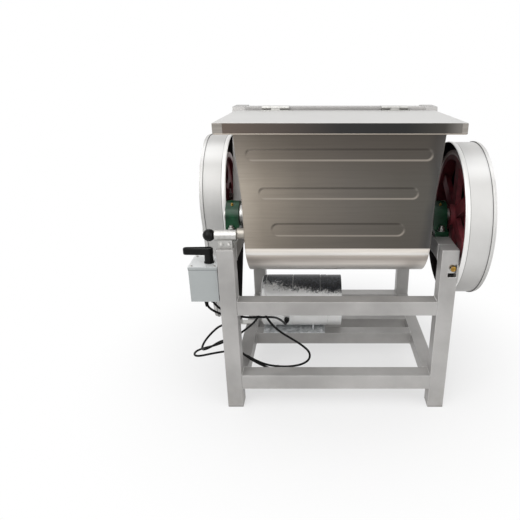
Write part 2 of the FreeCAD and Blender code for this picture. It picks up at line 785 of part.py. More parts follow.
def pulley(label, y, z, radius, bore):
    start = f"-{PULLEY_OUT}"
    body = rod(start, y, z, radius, "pulleyWidth")
    grooves = [groove(y, z, radius, f"-{PULLEY_MID} + {side} * beltPitch / 2") for side in (LEFT, RIGHT)]
    hole = rod(f"{start} - 5", y, z, bore, "pulleyWidth + 10")
    tools = grooves + [hole]
    if label == "driven_pulley":
        rim = f"({radius} - beltDepth - 12)"
        for x in (f"{start} - 1", f"-{PULLEY_MID} + 6"):
            pocket = rod(x, y, z, rim, "pulleyWidth / 2 - 5")
            keep = rod(f"{x} - 1", y, z, f"{bore} + 16", "pulleyWidth")
            tools.append(cut(pocket, keep))
        for step in range(5):
            turn = math.radians(72 * step)
            reach = f"(({rim} + {bore} + 16) / 2)"
            tools.append(rod(f"{start} - 5", f"{y} + {reach} * {math.cos(turn):.6f}",
                             f"{z} + {reach} * {math.sin(turn):.6f}", f"({rim} - {bore} - 16) / 3",
                             "pulleyWidth + 10"))
    return cut(body, *tools, label=label)


pulley("driven_pulley", COUNTER_Y, SHAFT_Z, "bigPulley", "counterRadius")
pulley("motor_pulley", "motorY", MOTOR_Z, "smallPulley", "motorShaftRadius")


def tangent_loop(low, high, small, big):
    """The closed wire round two circles in a plane across X, and the outward normal where it starts."""
    across = high - low
    distance = across.Length
    along = across * (1 / distance)
    side = Vector(0, -along.z, along.y)
    lean = math.asin((big - small) / distance)
    spots = []
    for sign in (1, -1):
        direction = side * (sign * math.cos(lean)) - along * math.sin(lean)
        spots.append((low + direction * small, high + direction * big))
    (low_left, high_left), (low_right, high_right) = spots
    edges = [Part.LineSegment(low_left, high_left).toShape(),
             Part.Arc(high_left, high + along * big, high_right).toShape(),
             Part.LineSegment(high_right, low_right).toShape(),
             Part.Arc(low_right, low - along * small, low_left).toShape()]
    return Part.Wire(edges), (low_left - low) * (1 / small)


def belt(x):
    """A V belt round both pulleys, a little clear of the groove walls."""
    low, high = spot(x, "motorY", MOTOR_Z), spot(x, COUNTER_Y, SHAFT_Z)
    depth, half, taper = size("beltDepth"), size("beltWidth / 2"), size("beltTaper")
    inner = size("smallPulley") - depth
    path, outward = tangent_loop(low, high, inner, size("bigPulley") - depth)
    start, sideways = low + outward * inner, Vector(1, 0, 0)
    foot = half - depth * taper
    corners = [start - sideways * foot, start + sideways * foot, start + outward * depth + sideways * half,
               start + outward * depth - sideways * half]
    section = Part.makePolygon(corners + corners[:1])
    return path.makePipeShell([section], True, True)


shaped("drive_belts", Part.makeCompound([belt(f"-{PULLEY_MID} + {side} * beltPitch / 2")
                                         for side in (LEFT, RIGHT)]))


# Pillow blocks on the bearing beams

def pillow_block(label, side, y, half, bore, radius):
    x = f"{side} * {BEAM_X}"
    foot = block(x, f"{y} - ({half})", "postHeight", "blockWidth", f"2 * ({half})", "blockFoot")
    start = f"{x} - blockWidth / 2"
    pedestal = slab("postHeight + blockFoot", SHAFT_Z, "blockWidth / 2", "blockWidth / 2",
                    f"{y} - ({radius}) - 8", f"{y} + ({radius}) + 8", f"{y} - ({radius})", f"{y} + ({radius})", x=x)
    head = rod(start, y, SHAFT_Z, radius, "blockWidth")
    hole = rod(f"{start} - 5", y, SHAFT_Z, bore, "blockWidth + 10")
    return cut(fuse(foot, pedestal, head), hole, label=label)


for side, word in ((LEFT, "left"), (RIGHT, "right")):
    pillow_block(f"{word}_shaft_bearing", side, "shaftY", "blockHalf", "ringRadius + runningGap", "blockRadius")
    pillow_block(f"{word}_countershaft_bearing", side, COUNTER_Y, "smallBlockHalf",
                 "counterRadius + runningGap", "(blockRadius - 8)")


def block_bolts():
    bolts = []
    top = "postHeight + blockFoot"
    for side in (LEFT, RIGHT):
        for y, half in (("shaftY", "blockHalf"), (COUNTER_Y, "smallBlockHalf")):
            for end in (LEFT, RIGHT):
                at = f"{y} + {end} * ({half} - 2 * boltRadius)"
                x = f"{side} * {BEAM_X}"
                hexagon = nut(x, at, top, "1.7 * boltRadius", "boltRadius * 1.5", "z")
                stud = rod(x, at, top, "boltRadius", "3 * boltRadius", "z")
                bolts.append(fuse(hexagon, stud))
    return bolts


group(*block_bolts(), label="bearing_bolts")


# Motor under the trough

MOTOR_RIGHT = "(motorLength - motorLeft)"
COWL_X = f"({MOTOR_RIGHT} - cowlLength)"


def motor_housing():
    shell = rod("-motorLeft", "motorY", MOTOR_Z, "motorRadius", f"{COWL_X} + motorLeft")
    hollow = rod("-motorLeft + 3 * motorWall", "motorY", MOTOR_Z, "motorRadius - motorWall",
                 f"{COWL_X} + motorLeft - 6 * motorWall")
    bore = rod("-motorLeft - 5", "motorY", MOTOR_Z, "motorShaftRadius + runningGap", "motorLength")
    gland = rod("-motorLeft + 98", "motorY - motorRadius - 12", f"{MOTOR_Z} - 35", "0.8 * glandRadius",
                "22", "y")
    return fuse(cut(shell, hollow, bore), gland, label="motor_housing")


def motor_cowl():
    shell = rod(COWL_X, "motorY", MOTOR_Z, "motorRadius - 1", "cowlLength")
    hollow = rod(f"{COWL_X} - 1", "motorY", MOTOR_Z, "motorRadius - motorWall", "cowlLength - motorWall / 2")
    tools = [hollow]
    for ring, count in ((30, 6), (55, 10)):
        for step in range(count):
            turn = math.radians(360 / count * step)
            tools.append(rod(f"{MOTOR_RIGHT} - 10", f"motorY + {ring * math.cos(turn):.4f}",
                             f"{MOTOR_Z} + {ring * math.sin(turn):.4f}", "6", "20"))
    return cut(shell, *tools, label="motor_fan_cowl")


def motor_shaft():
    long = rod(f"-{PULLEY_OUT} - 4", "motorY", MOTOR_Z, "motorShaftRadius",
               f"{PULLEY_OUT} + 4 + {COWL_X} + 30")
    rotor = rod("-motorLeft + 40", "motorY", MOTOR_Z, "motorRadius * 0.58", "motorLength - cowlLength - 80")
    return fuse(long, rotor, label="motor_shaft")


def motor_fan():
    pieces = [rod(f"{COWL_X} + 8", "motorY", MOTOR_Z, "motorShaftRadius + 10", "22")]
    for step in range(7):
        blade = doc.addObject("Part::Box", "Blade")
        bind(blade, Length="18", Width="motorRadius - motorWall - 8", Height="3")
        place(blade, f"{COWL_X} + 10", "motorY", MOTOR_Z, Rotation(Vector(1, 0, 0), 360 / 7 * step))
        pieces.append(blade)
    hole = rod(f"{COWL_X} - 20", "motorY", MOTOR_Z, "motorShaftRadius", "80")
    return cut(fuse(*pieces), hole, label="motor_fan")


def motor_base():
    """A galvanised saddle: a plate on both motor rails, with two webs up to the housing."""
    reach = f"({MOTOR_RAIL_REAR} + railTube - motorRailInset)"
    middle = f"((-motorLeft + {COWL_X}) / 2)"
    plate = block(middle, "motorRailInset", "lowerRailTop", f"{COWL_X} + motorLeft - 20", reach, "4")
    webs = [block(f"{middle} + {side} * 70", "motorRailInset + 20", "lowerRailTop + 4", "6",
                  f"{reach} - 40", "motorAxisRise - 40") for side in (LEFT, RIGHT)]
    drum = rod("-motorLeft - 5", "motorY", MOTOR_Z, "motorRadius", "motorLength")
    bolts = [nut(f"{middle} + {side} * ({COWL_X} + motorLeft - 50) / 2", f"motorRailInset + {back}",
                 "lowerRailTop + 4", "9", "8", "z") for side in (LEFT, RIGHT) for back in ("12", f"{reach} - 13")]
    return cut(fuse(plate, *webs, *bolts), drum, label="motor_base")


motor_housing()
motor_cowl()
motor_shaft()
motor_fan()
motor_base()


# Covers: shells open towards the trough

def right_cover():
    start, deep = "coverNear", "(rightCoverOuter - coverNear)"
    drum = rod(start, "rightCoverY", RIGHT_COVER_Z, "rightCoverRadius", deep)
    room = rod(f"{start} - 1", "rightCoverY", RIGHT_COVER_Z, "rightCoverRadius - coverSheet", f"{deep} + 1 - coverSheet")
    bead = rod("rightCoverOuter - 12", "rightCoverY", RIGHT_COVER_Z, "rightCoverRadius + coverBead", "5")
    room_again = rod(f"{start} - 1", "rightCoverY", RIGHT_COVER_Z, "rightCoverRadius - coverSheet", f"{deep} - 2")
    return fuse(cut(drum, room), cut(bead, room_again), label="right_gear_cover")


right_cover()


def left_cover():
    """A teardrop pan: the wire round a large circle above and a small one at the motor."""
    def pan(x, inset, deep):
        low = spot(x, "motorY", MOTOR_Z)
        high = spot(x, COUNTER_Y, LEFT_COVER_Z)
        loop, _ = tangent_loop(low, high, size("leftTipRadius") - inset, size("leftCoverRadius") - inset)
        return Part.Face(loop).extrude(Vector(deep, 0, 0))
    deep, sheet_wall = size("leftCoverOuter - coverNear"), size("coverSheet")
    shell = pan("-leftCoverOuter", 0.0, deep).cut(pan("-leftCoverOuter + coverSheet", sheet_wall, deep))
    bead = pan("-leftCoverOuter + 7", -size("coverBead"), 5).cut(pan("-leftCoverOuter + 6", sheet_wall, 10))
    return shell.fuse(bead)


shaped("left_belt_cover", left_cover())


GAP = "(coverNear - frameHalf)"


def left_cover_fasteners():
    """Two standoffs from the beam to the belt cover's plate, their bolts, and a bracket at its tip."""
    pieces = []
    z = "postHeight - standoffDrop"
    for end in (LEFT, RIGHT):
        y = f"{COUNTER_Y} + {end} * standoffSpread"
        pieces.append(rod("-leftCoverOuter + coverSheet", y, z, "standoffRadius",
                          "leftCoverOuter - coverSheet - frameHalf"))
        pieces.append(nut(f"-leftCoverOuter - {HEAD}", y, z, "1.4 * boltRadius", HEAD))
    foot_start = "(frameHalf - sideInset - 2 * railTube / 3)"
    middle = f"(-(coverNear + {foot_start}) / 2)"
    foot = block(middle, "motorY - 15", "lowerRailTop", f"coverNear - {foot_start}", "30", "bracketSheet")
    upright = block("-coverNear + bracketSheet / 2", "motorY - 15", "lowerRailTop", "bracketSheet", "30",
                    "motorAxisRise - leftTipRadius + 12")
    pieces.append(fuse(foot, upright))
    return pieces


def right_cover_fasteners():
    """Two tabs behind the gear cover's rim, and the brass bolt in the post's window."""
    x = "frameHalf"
    front = block(f"{x} + {GAP} / 2", "0", f"{WINDOW_Z} - windowHeight / 2", GAP, "tubeSize - 5", "1.5 * windowHeight")
    rear = block(f"{x} + {GAP} / 2", "rightCoverY + rightCoverRadius - 32", "postHeight - tubeSize + 4",
                 GAP, "36", "tubeSize - 8")
    lug_x = f"{x} - tubeWall - 11"
    lug = block(lug_x, "12", f"{WINDOW_Z} + 8", "22", "8", "30")
    bolt = nut(f"{lug_x} + 1", "4", f"{WINDOW_Z} + windowHeight * 0.6", "9", "8", "y")
    return [front, rear, lug, bolt]


def cord_hook():
    """The peg behind the front upper rail that the mains lead is hung over."""
    bar = rod("-hookX", "railTube", "upperRailTop - hookDrop", "hookRadius", "hookReach", "y")
    end = rod("-hookX", "railTube + hookReach", "upperRailTop - hookDrop", "2 * hookRadius", "3", "y")
    return fuse(bar, end)


group(*left_cover_fasteners(), *right_cover_fasteners(), cord_hook(), label="cover_and_cord_fasteners")


# The pull lock on the left post

def lock():
    length = "(sleeveLeft - sleeveRight)"
    sleeve = rod("-sleeveLeft", "lockY", LOCK_Z, "sleeveRadius", length)
    bore = rod("-sleeveLeft - 5", "lockY", LOCK_Z, "pinRadius + runningGap", f"{length} + 10")
    saddle = block(f"-{BEAM_X}", "lockY - 10", "postHeight", "tubeSize - 8", "20", "lockRise - sleeveRadius / 2")
    cut(fuse(sleeve, saddle), bore, label="lock_sleeve")
    name(rod("-sleeveLeft - knobGap", "lockY", LOCK_Z, "pinRadius", f"{length} + knobGap"), "lock_pin")
    seat = rod("-sleeveLeft - knobGap", "lockY", LOCK_Z, "2 * pinRadius", length)
    knob = ball("-sleeveLeft - knobGap - knobRadius + 2", "lockY", LOCK_Z, "knobRadius")
    cut(knob, seat, label="lock_knob")


lock()


# Switch box with its lever on top

BOX_X = "(boxNear + boxWidth / 2)"
BOX_FLOOR = "(boxTop - boxHeight)"
box_body = block(f"-{BOX_X}", "boxFront", BOX_FLOOR, "boxWidth", "boxDepth", "boxHeight - 1")
box_room = block(f"-{BOX_X}", "boxFront + 3", f"{BOX_FLOOR} + 3", "boxWidth - 6", "boxDepth - 6", "boxHeight - 12")
box_rib = block(f"-{BOX_X}", "boxFront - 1", "boxTop - 8", "boxWidth + 2", "boxDepth + 2", "8")
bracket = block("-(boxNear + frameHalf) / 2", "boxFront + 4", f"{BOX_FLOOR} + 20",
                "boxNear - frameHalf", "tubeSize - 20", "boxHeight - 40")
glands = [cone(f"-(boxNear + {across})", f"boxFront + {back}", f"{BOX_FLOOR} - glandLength", "glandRadius - 3",
               "glandRadius", "glandLength", "z") for across, back in ((50, 47), (38, 76))]
fuse(cut(fuse(box_body, box_rib), box_room), bracket, *glands, label="switch_box")
LEVER_Y = "(boxFront + 40)"
hub = rod("-leverX", LEVER_Y, "boxTop + 0.3", "13", "28", "z")
arm = block("-leverX - leverReach / 2 + leverTail / 2", f"{LEVER_Y} - leverWidth / 2", "boxTop + 26",
            "leverReach + leverTail", "leverWidth", "20")
fuse(hub, arm, label="switch_lever")


# Cables, as the points of their routes from the middle of the frame, its front and the floor

MAINS_ROUTE = [
    (-404, 57, 362), (-404, 57, 341), (-388, 62, 321), (-362, 64, 307), (-331, 62, 301), (-303, 59, 312),
    (-287, 57, 335), (-269, 56, 353), (-246, 56, 352), (-230, 56, 334), (-221, 58, 302), (-201, 66, 264),
    (-174, 75, 233), (-141, 86, 204), (-108, 94, 175), (-83, 97, 146), (-86, 93, 119), (-114, 86, 105),
    (-154, 80, 102), (-191, 80, 103), (-228, 84, 106), (-263, 90, 118), (-293, 95, 134), (-323, 97, 148),
    (-354, 98, 152), (-388, 97, 147), (-421, 97, 140), (-449, 99, 132), (-470, 107, 126), (-480, 124, 123),
    (-478, 145, 121), (-464, 160, 121), (-442, 167, 124), (-414, 166, 132), (-385, 161, 147), (-355, 154, 165),
    (-325, 146, 188), (-294, 135, 218), (-266, 118, 250), (-248, 101, 286), (-238, 90, 322), (-241, 84, 344),
    (-254, 80, 359), (-275, 77, 359), (-290, 75, 343), (-295, 73, 320), (-299, 72, 296), (-314, 73, 275),
    (-341, 78, 265), (-375, 88, 254), (-407, 95, 222), (-433, 101, 188), (-447, 110, 159), (-451, 127, 138),
    (-443, 147, 128), (-425, 159, 132), (-403, 158, 148), (-379, 145, 165), (-352, 121, 173), (-324, 92, 162),
    (-293, 80, 141), (-260, 74, 121), (-227, 72, 105),
    (-198, 74, 91), (-170, 82, 72), (-146, 94, 48), (-120, 112, 27), (-90, 126, 18), (-58, 126, 18)]
MOTOR_ROUTE = [
    (-392, 86, 362), (-392, 86, 341), (-377, 88, 320), (-352, 88, 302), (-320, 86, 290), (-286, 84, 285),
    (-252, 84, 286), (-222, 96, 280), (-200, 122, 266), (-185, 157, 238), (-175, 190, 208), (-170, 217, 184),
    (-170, 243, 184)]


def cable(label, route):
    datum = spot("0", "0", "0")
    tube, radii, ratio = round_tube([datum + Vector(*point) for point in route], size("cordRadius"))
    print(f"{label} radii {' '.join(f'{radius:.0f}' for radius in radii)}; volume ratio {ratio:.4f}")
    shaped(label, tube)


cable("power_cord", MAINS_ROUTE)
cable("motor_lead", MOTOR_ROUTE)


def mains_plug():
    x, y, z = MAINS_ROUTE[-1]
    sleeve = cone(x, y, z, "2 * cordRadius", "plugRadius / 2", "16")
    body = rod(f"{x} + 16", y, z, "plugRadius", "plugLength")
    pins = [rod(f"{x} + 16 + plugLength", y + side * 9.5, z, "2.4", "19") for side in (LEFT, RIGHT)]
    return fuse(sleeve, body, *pins, label="power_plug")


mains_plug()


def write_parts():
    doc.recompute()
    faults = [item.Name for item in doc.Objects if {"Invalid", "Error"} & set(item.State)]
    if faults:
        raise SystemExit(f"failed objects: {faults}")
    os.makedirs("parts", exist_ok=True)
    for label, item in NODES.items():
        shape = item.Shape
        if shape.isNull() or not shape.isValid() or not shape.Solids:
            raise SystemExit(f"{label} has no valid solid")
        shape.exportStep(f"parts/{label}.step")
        print(f"{label:26s} solids {len(shape.Solids)} volume {shape.Volume / 1000:9.1f} cm3")
    print(len(NODES), "nodes")


write_parts()
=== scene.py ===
# %% [markdown]
# # A dough mixer, dressed
#
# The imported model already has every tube, gear and sheet in its true place. This lesson gives it what a
# CAD solid lacks: rolled edges, weld seams, pressed beads, paint that has settled unevenly, brushed steel,
# and cables that lie the way a cable lies. Everything is in metres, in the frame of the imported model.

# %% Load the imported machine
import json
import math

import bmesh
import bpy
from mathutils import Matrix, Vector


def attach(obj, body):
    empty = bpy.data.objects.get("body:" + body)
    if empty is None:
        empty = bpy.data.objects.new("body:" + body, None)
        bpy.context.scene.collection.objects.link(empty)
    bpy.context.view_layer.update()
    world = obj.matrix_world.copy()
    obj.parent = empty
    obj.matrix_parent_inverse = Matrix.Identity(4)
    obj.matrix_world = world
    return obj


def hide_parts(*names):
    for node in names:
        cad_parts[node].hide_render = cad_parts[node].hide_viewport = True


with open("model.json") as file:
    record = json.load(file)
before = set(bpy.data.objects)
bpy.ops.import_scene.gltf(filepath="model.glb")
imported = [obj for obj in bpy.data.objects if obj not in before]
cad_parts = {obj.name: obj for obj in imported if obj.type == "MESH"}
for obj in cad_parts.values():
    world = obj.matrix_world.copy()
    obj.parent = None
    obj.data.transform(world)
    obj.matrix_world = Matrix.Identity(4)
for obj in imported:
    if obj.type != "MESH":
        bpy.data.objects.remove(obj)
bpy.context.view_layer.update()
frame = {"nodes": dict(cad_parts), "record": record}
NODES = frame["nodes"]
BODY_OF = {node: body for body, nodes in frame["record"]["behaviour"]["bodies"].items() for node in nodes}

# %% [markdown]
# The machine was laid out in millimetres from the middle of its frame, the front of its front legs and the
# floor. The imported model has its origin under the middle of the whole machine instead, so one small function
# turns a layout point into a scene point. All sizes below are layout millimetres.

# %% From layout millimetres to the scene
DATUM = Vector((8.5, -314.75, 0.0))


def spot(x, y, z):
    return (Vector((x, y, z)) + DATUM) / 1000


SHAFT_LINE = spot(0, 196, 596)
COUNTER_LINE = spot(0, 422, 596)
MOTOR_LINE = spot(0, 350, 219)


# %% [markdown]
# ## The camera
#
# The photograph was taken from a little above, a step to the left of the machine's middle. The machine sits
# right of the picture's centre without any convergence of its uprights sideways, which a sideways shift of
# the lens gives and a turn of the camera would not.

# %% Camera
PICTURE, FOCAL, MACHINE_MIDDLE = 520, 491, 318
lens = bpy.data.cameras.new("camera")
lens.sensor_width = 36
lens.lens = FOCAL / PICTURE * 36
lens.shift_x = (PICTURE / 2 - MACHINE_MIDDLE) / PICTURE
lens.clip_end = 50
camera = bpy.data.objects.new("camera", lens)
camera.location = spot(-57, -1318, 1036)
camera.rotation_euler = (math.radians(90 - 21.5), 0, 0)
bpy.context.scene.collection.objects.link(camera)
bpy.context.scene.camera = camera

# %% [markdown]
# ## Finishes
#
# A finish is a small network of shader nodes. Writing the maths as Python expressions keeps it readable: the
# `Wire` class below wraps a socket, and each operator adds one Math node.

# %% A socket that does arithmetic
class Wire:
    """A number flowing through a finish."""

    def __init__(self, finish, socket):
        self.finish, self.socket = finish, socket

    def combine(self, operation, first, second):
        return self.finish.add("ShaderNodeMath", {"operation": operation}, first, second)

    def __add__(self, other):
        return self.combine("ADD", self, other)

    def __radd__(self, other):
        return self.combine("ADD", other, self)

    def __sub__(self, other):
        return self.combine("SUBTRACT", self, other)

    def __rsub__(self, other):
        return self.combine("SUBTRACT", other, self)

    def __mul__(self, other):
        return self.combine("MULTIPLY", self, other)

    def __truediv__(self, other):
        return self.combine("DIVIDE", self, other)

    def __pow__(self, other):
        return self.combine("POWER", self, other)


def linear(colour):
    """An sRGB hex colour as the linear numbers that a shader wants."""
    parts = [int(colour[i:i + 2], 16) / 255 for i in (1, 3, 5)]
    return tuple(p / 12.92 if p <= 0.04045 else ((p + 0.055) / 1.055) ** 2.4 for p in parts) + (1.0,)


class Finish:
    """One material, with a Principled shader and a few ways to feed it."""

    def __init__(self, name, **plain):
        self.material = bpy.data.materials.new(name)
        self.material.use_nodes = True
        self.tree = self.material.node_tree
        self.shader = self.tree.nodes["Principled BSDF"]
        for socket, value in plain.items():
            self.shader.inputs[socket.replace("_", " ")].default_value = value

    def add(self, kind, settings=None, *values, output=0, **named):
        """Adds a node: its settings first, then the values or links of its sockets."""
        node = self.tree.nodes.new(kind)
        for key, value in (settings or {}).items():
            if key == "stops":
                elements = node.color_ramp.elements
                elements.remove(elements[1])
                elements[0].position, elements[0].color = value[0]
                for place, colour in value[1:]:
                    elements.new(place).color = colour
            else:
                setattr(node, key, value)
        pairs = list(enumerate(values))
        pairs += [(key.replace("_", " "), value) for key, value in named.items()]
        for key, value in pairs:
            self.plug(node.inputs[key], value)
        return Wire(self, node.outputs[output])

    def plug(self, socket, value):
        if isinstance(value, Wire):
            self.tree.links.new(value.socket, socket)
        else:
            socket.default_value = value

    def set(self, **feeds):
        for name, value in feeds.items():
            self.plug(self.shader.inputs[name.replace("_", " ")], value)

    def where(self):
        return self.add("ShaderNodeTexCoord", output=3)

    def faces(self, letter):
        """How far the surface faces along an axis of the machine, from -1 to 1."""
        normal = self.add("ShaderNodeTexCoord", output=1)
        return self.add("ShaderNodeSeparateXYZ", None, normal, output="XYZ".index(letter))

    def axis(self, letter):
        return self.add("ShaderNodeSeparateXYZ", None, self.where(), output="XYZ".index(letter))

    def outward(self, middle):
        """1 where the surface faces away from a point inside the shell, and 0 where it faces it."""
        away = self.add("ShaderNodeVectorMath", {"operation": "SUBTRACT"}, self.where(), middle)
        normal = self.add("ShaderNodeTexCoord", output=1)
        along = self.add("ShaderNodeVectorMath", {"operation": "DOT_PRODUCT"}, away, normal, output=1)
        return self.band(along, 0.0, 0.004)

    def stretched(self, x, y, z):
        return self.add("ShaderNodeMapping", None, self.where(), Scale=(x, y, z))

    def noise(self, scale, detail=3.0, rough=0.55, vector=None):
        return self.add("ShaderNodeTexNoise", None, Vector=vector or self.where(), Scale=scale,
                        Detail=detail, Roughness=rough)

    def band(self, value, low, high):
        """0 below low, 1 above high, and a smooth step between."""
        smooth_step = {"interpolation_type": "SMOOTHSTEP"}
        return self.add("ShaderNodeMapRange", smooth_step, value, low, high, 0.0, 1.0)

    def blend(self, factor, first, second):
        mixed = self.add("ShaderNodeMix", {"data_type": "RGBA"}, output=2)
        node = mixed.socket.node
        self.plug(node.inputs[0], factor)
        self.plug(node.inputs[6], first)
        self.plug(node.inputs[7], second)
        return mixed

    def ramp(self, value, *stops):
        """A colour for each place along a value: pairs of (place, hex colour)."""
        listed = [(place, linear(colour)) for place, colour in stops]
        return self.add("ShaderNodeValToRGB", {"stops": listed}, value)

    def bump(self, height, distance, strength=1.0, onto=None):
        feeds = {"Height": height, "Distance": distance, "Strength": strength}
        if onto:
            feeds["Normal"] = onto
        return self.add("ShaderNodeBump", None, **feeds)

    def edge_wear_and_highlight(self, radius):
        """Near 1 on outer edges: where paint or grime wears off, and where a painted highlight line runs."""
        bevel = self.add("ShaderNodeBevel", {"samples": 4}, radius)
        flat = self.add("ShaderNodeNewGeometry", output=1)
        alike = self.add("ShaderNodeVectorMath", {"operation": "DOT_PRODUCT"}, bevel, flat, output=1)
        return self.band(1 - alike, 0.04, 0.25)


# %% [markdown]
# ### Silver paint
#
# The frame and the covers are sprayed with an aluminium-pigmented paint. It is not a mirror: it is a pale
# grey with a soft metallic lift, a faint orange-peel skin, and clouds where the spray went on thicker. Near
# the floor it holds a little dust, and the last few millimetres above the floor are darker. Outer edges are
# lighter: partly worn paint, partly a painted highlight line. On the covers, faces turned upwards carry a
# painted highlight band and faces turned down a painted shade, and inside each cover the colour is a dark
# painted shade. The outside of a rounded pan is where the surface faces away from the pan's middle, which
# one dot product tells. A thin dark line of painted shade runs along each seam of a cover. The switch box
# carries a painted highlight on its top, and the raised hems a painted highlight in a paler paint.

# %% Silver paint
def silver_paint(name, colour, shadow, rough=0.42, edge="#E6E6E4", hollow=None, seams=(), painted_top_light=None):
    paint = Finish(name, Coat_Weight=0.12, Coat_Roughness=0.3)
    cloud, broad = paint.noise(6.0, 4.0, 0.6), paint.noise(2.2, 2.0, 0.5)
    fleck = paint.noise(900.0, 1.0, 0.5)
    tone = paint.band(cloud, 0.3, 0.7) * 0.4 + paint.band(broad, 0.35, 0.65) * 0.3 + fleck * 0.3
    tinted = paint.blend(tone, linear(shadow), linear(colour))
    dust = (1 - paint.band(paint.axis("Z"), 0.0, 0.12)) * paint.band(paint.noise(35.0), 0.35, 0.7) * 0.35
    dust_and_shade = paint.blend(dust, tinted, linear("#8F8A80"))
    foot = paint.blend((1 - paint.band(paint.axis("Z"), 0.003, 0.007)) * 0.5, dust_and_shade, linear("#5E5B57"))
    # Outer edges are lighter: partly worn paint, partly a painted highlight line.
    outside = paint.blend(paint.edge_wear_and_highlight(0.004) * 0.7, foot, linear(edge))
    # A thin dark line of painted shade along each seam of a cover.
    for place in seams:
        off = paint.add("ShaderNodeMath", {"operation": "ABSOLUTE"}, paint.axis("X") - place)
        outside = paint.blend(0.8 - paint.band(off, 0.0004, 0.0012) * 0.8, outside, linear("#4F4E4C"))
    metal = 0.35
    # Faces turned upwards get a painted highlight.
    if painted_top_light:
        outside = paint.blend(paint.band(paint.faces("Z"), 0.5, 0.9) * 0.85, outside, linear(painted_top_light))
    if hollow:
        # On the covers, faces turned upwards get a painted highlight band and faces turned down a painted
        # shade.
        up = paint.faces("Z")
        gleam = paint.band(up, 0.62, 0.8) * (1 - paint.band(up, 0.86, 0.97)) * 0.5
        shade = paint.band(0 - up, 0.15, 0.85) * 0.6
        lit = paint.blend(shade, paint.blend(gleam, outside, linear("#F7F7F6")), linear("#85827E"))
        # Faces that look into the pan get a dark painted shade; only faces turned outwards keep the paint and
        # its metallic lift.
        painted = paint.outward(hollow)
        outside = paint.blend(painted, linear("#221E1F"), lit)
        metal = painted * 0.35
    skin = paint.bump(paint.noise(420.0, 2.0), 0.00012)
    paint.set(Base_Color=outside, Roughness=rough + cloud * 0.14, Metallic=metal, Normal=skin)
    return paint.material


FRAME_PAINT = silver_paint("frame_silver_paint", "#BAB8B6", "#8F8D8B")
GEAR_COVER_PAINT = silver_paint("gear_cover_silver_paint", "#D4D3D1", "#BEBDBB", 0.36, "#EDEDEB",
                                spot(395, 222, 578), (spot(367, 0, 0).x, spot(429, 0, 0).x))
# The belt cover's paint is written a little darker than the gear cover's: painted shade against the lamp's
# highlight on it.
BELT_COVER_PAINT = silver_paint("belt_cover_silver_paint", "#C9C8C6", "#B5B4B2", 0.42, "#EDEDEB",
                                spot(-395, 395, 480), (spot(-367, 0, 0).x, spot(-426, 0, 0).x))
# The hems and the blank panel are written paler than the covers: a painted highlight where these raised parts
# catch the light.
RAISED_HIGHLIGHT_PAINT = silver_paint("cover_hem_highlight_paint", "#EFEEEC", "#DAD9D7", 0.3)
# The switch box's top carries a painted highlight.
BOX_PAINT = silver_paint("switch_box_paint", "#AEB2B2", "#9EA2A2", 0.38, "#C9CCCC", painted_top_light="#F1F3F3")

# %% [markdown]
# ### Brushed stainless steel
#
# Brushing leaves fine parallel scratches. Noise stretched a hundredfold along the brushing direction gives
# the same look, both in the colour and as a very shallow bump. The trough's leaning front panel mirrors the
# dark side of a room and its round bottom mirrors the pale floor, so the sheet is written darker above the
# crease than below it.

# %% Brushed steel
def brushed(name, colour, shadow, rough=0.3, along=(4.0, 260.0, 260.0), depth=0.00004, metal=1.0):
    steel = Finish(name, Metallic=metal)
    scratches = steel.noise(1.0, 4.0, 0.7, steel.stretched(*along))
    cloud = steel.noise(5.0, 3.0, 0.5)
    tone = steel.band(scratches, 0.25, 0.75) * 0.65 + cloud * 0.35
    steel.set(Base_Color=steel.blend(tone, linear(shadow), linear(colour)),
              Roughness=rough + scratches * 0.16, Normal=steel.bump(scratches, depth))
    return steel.material


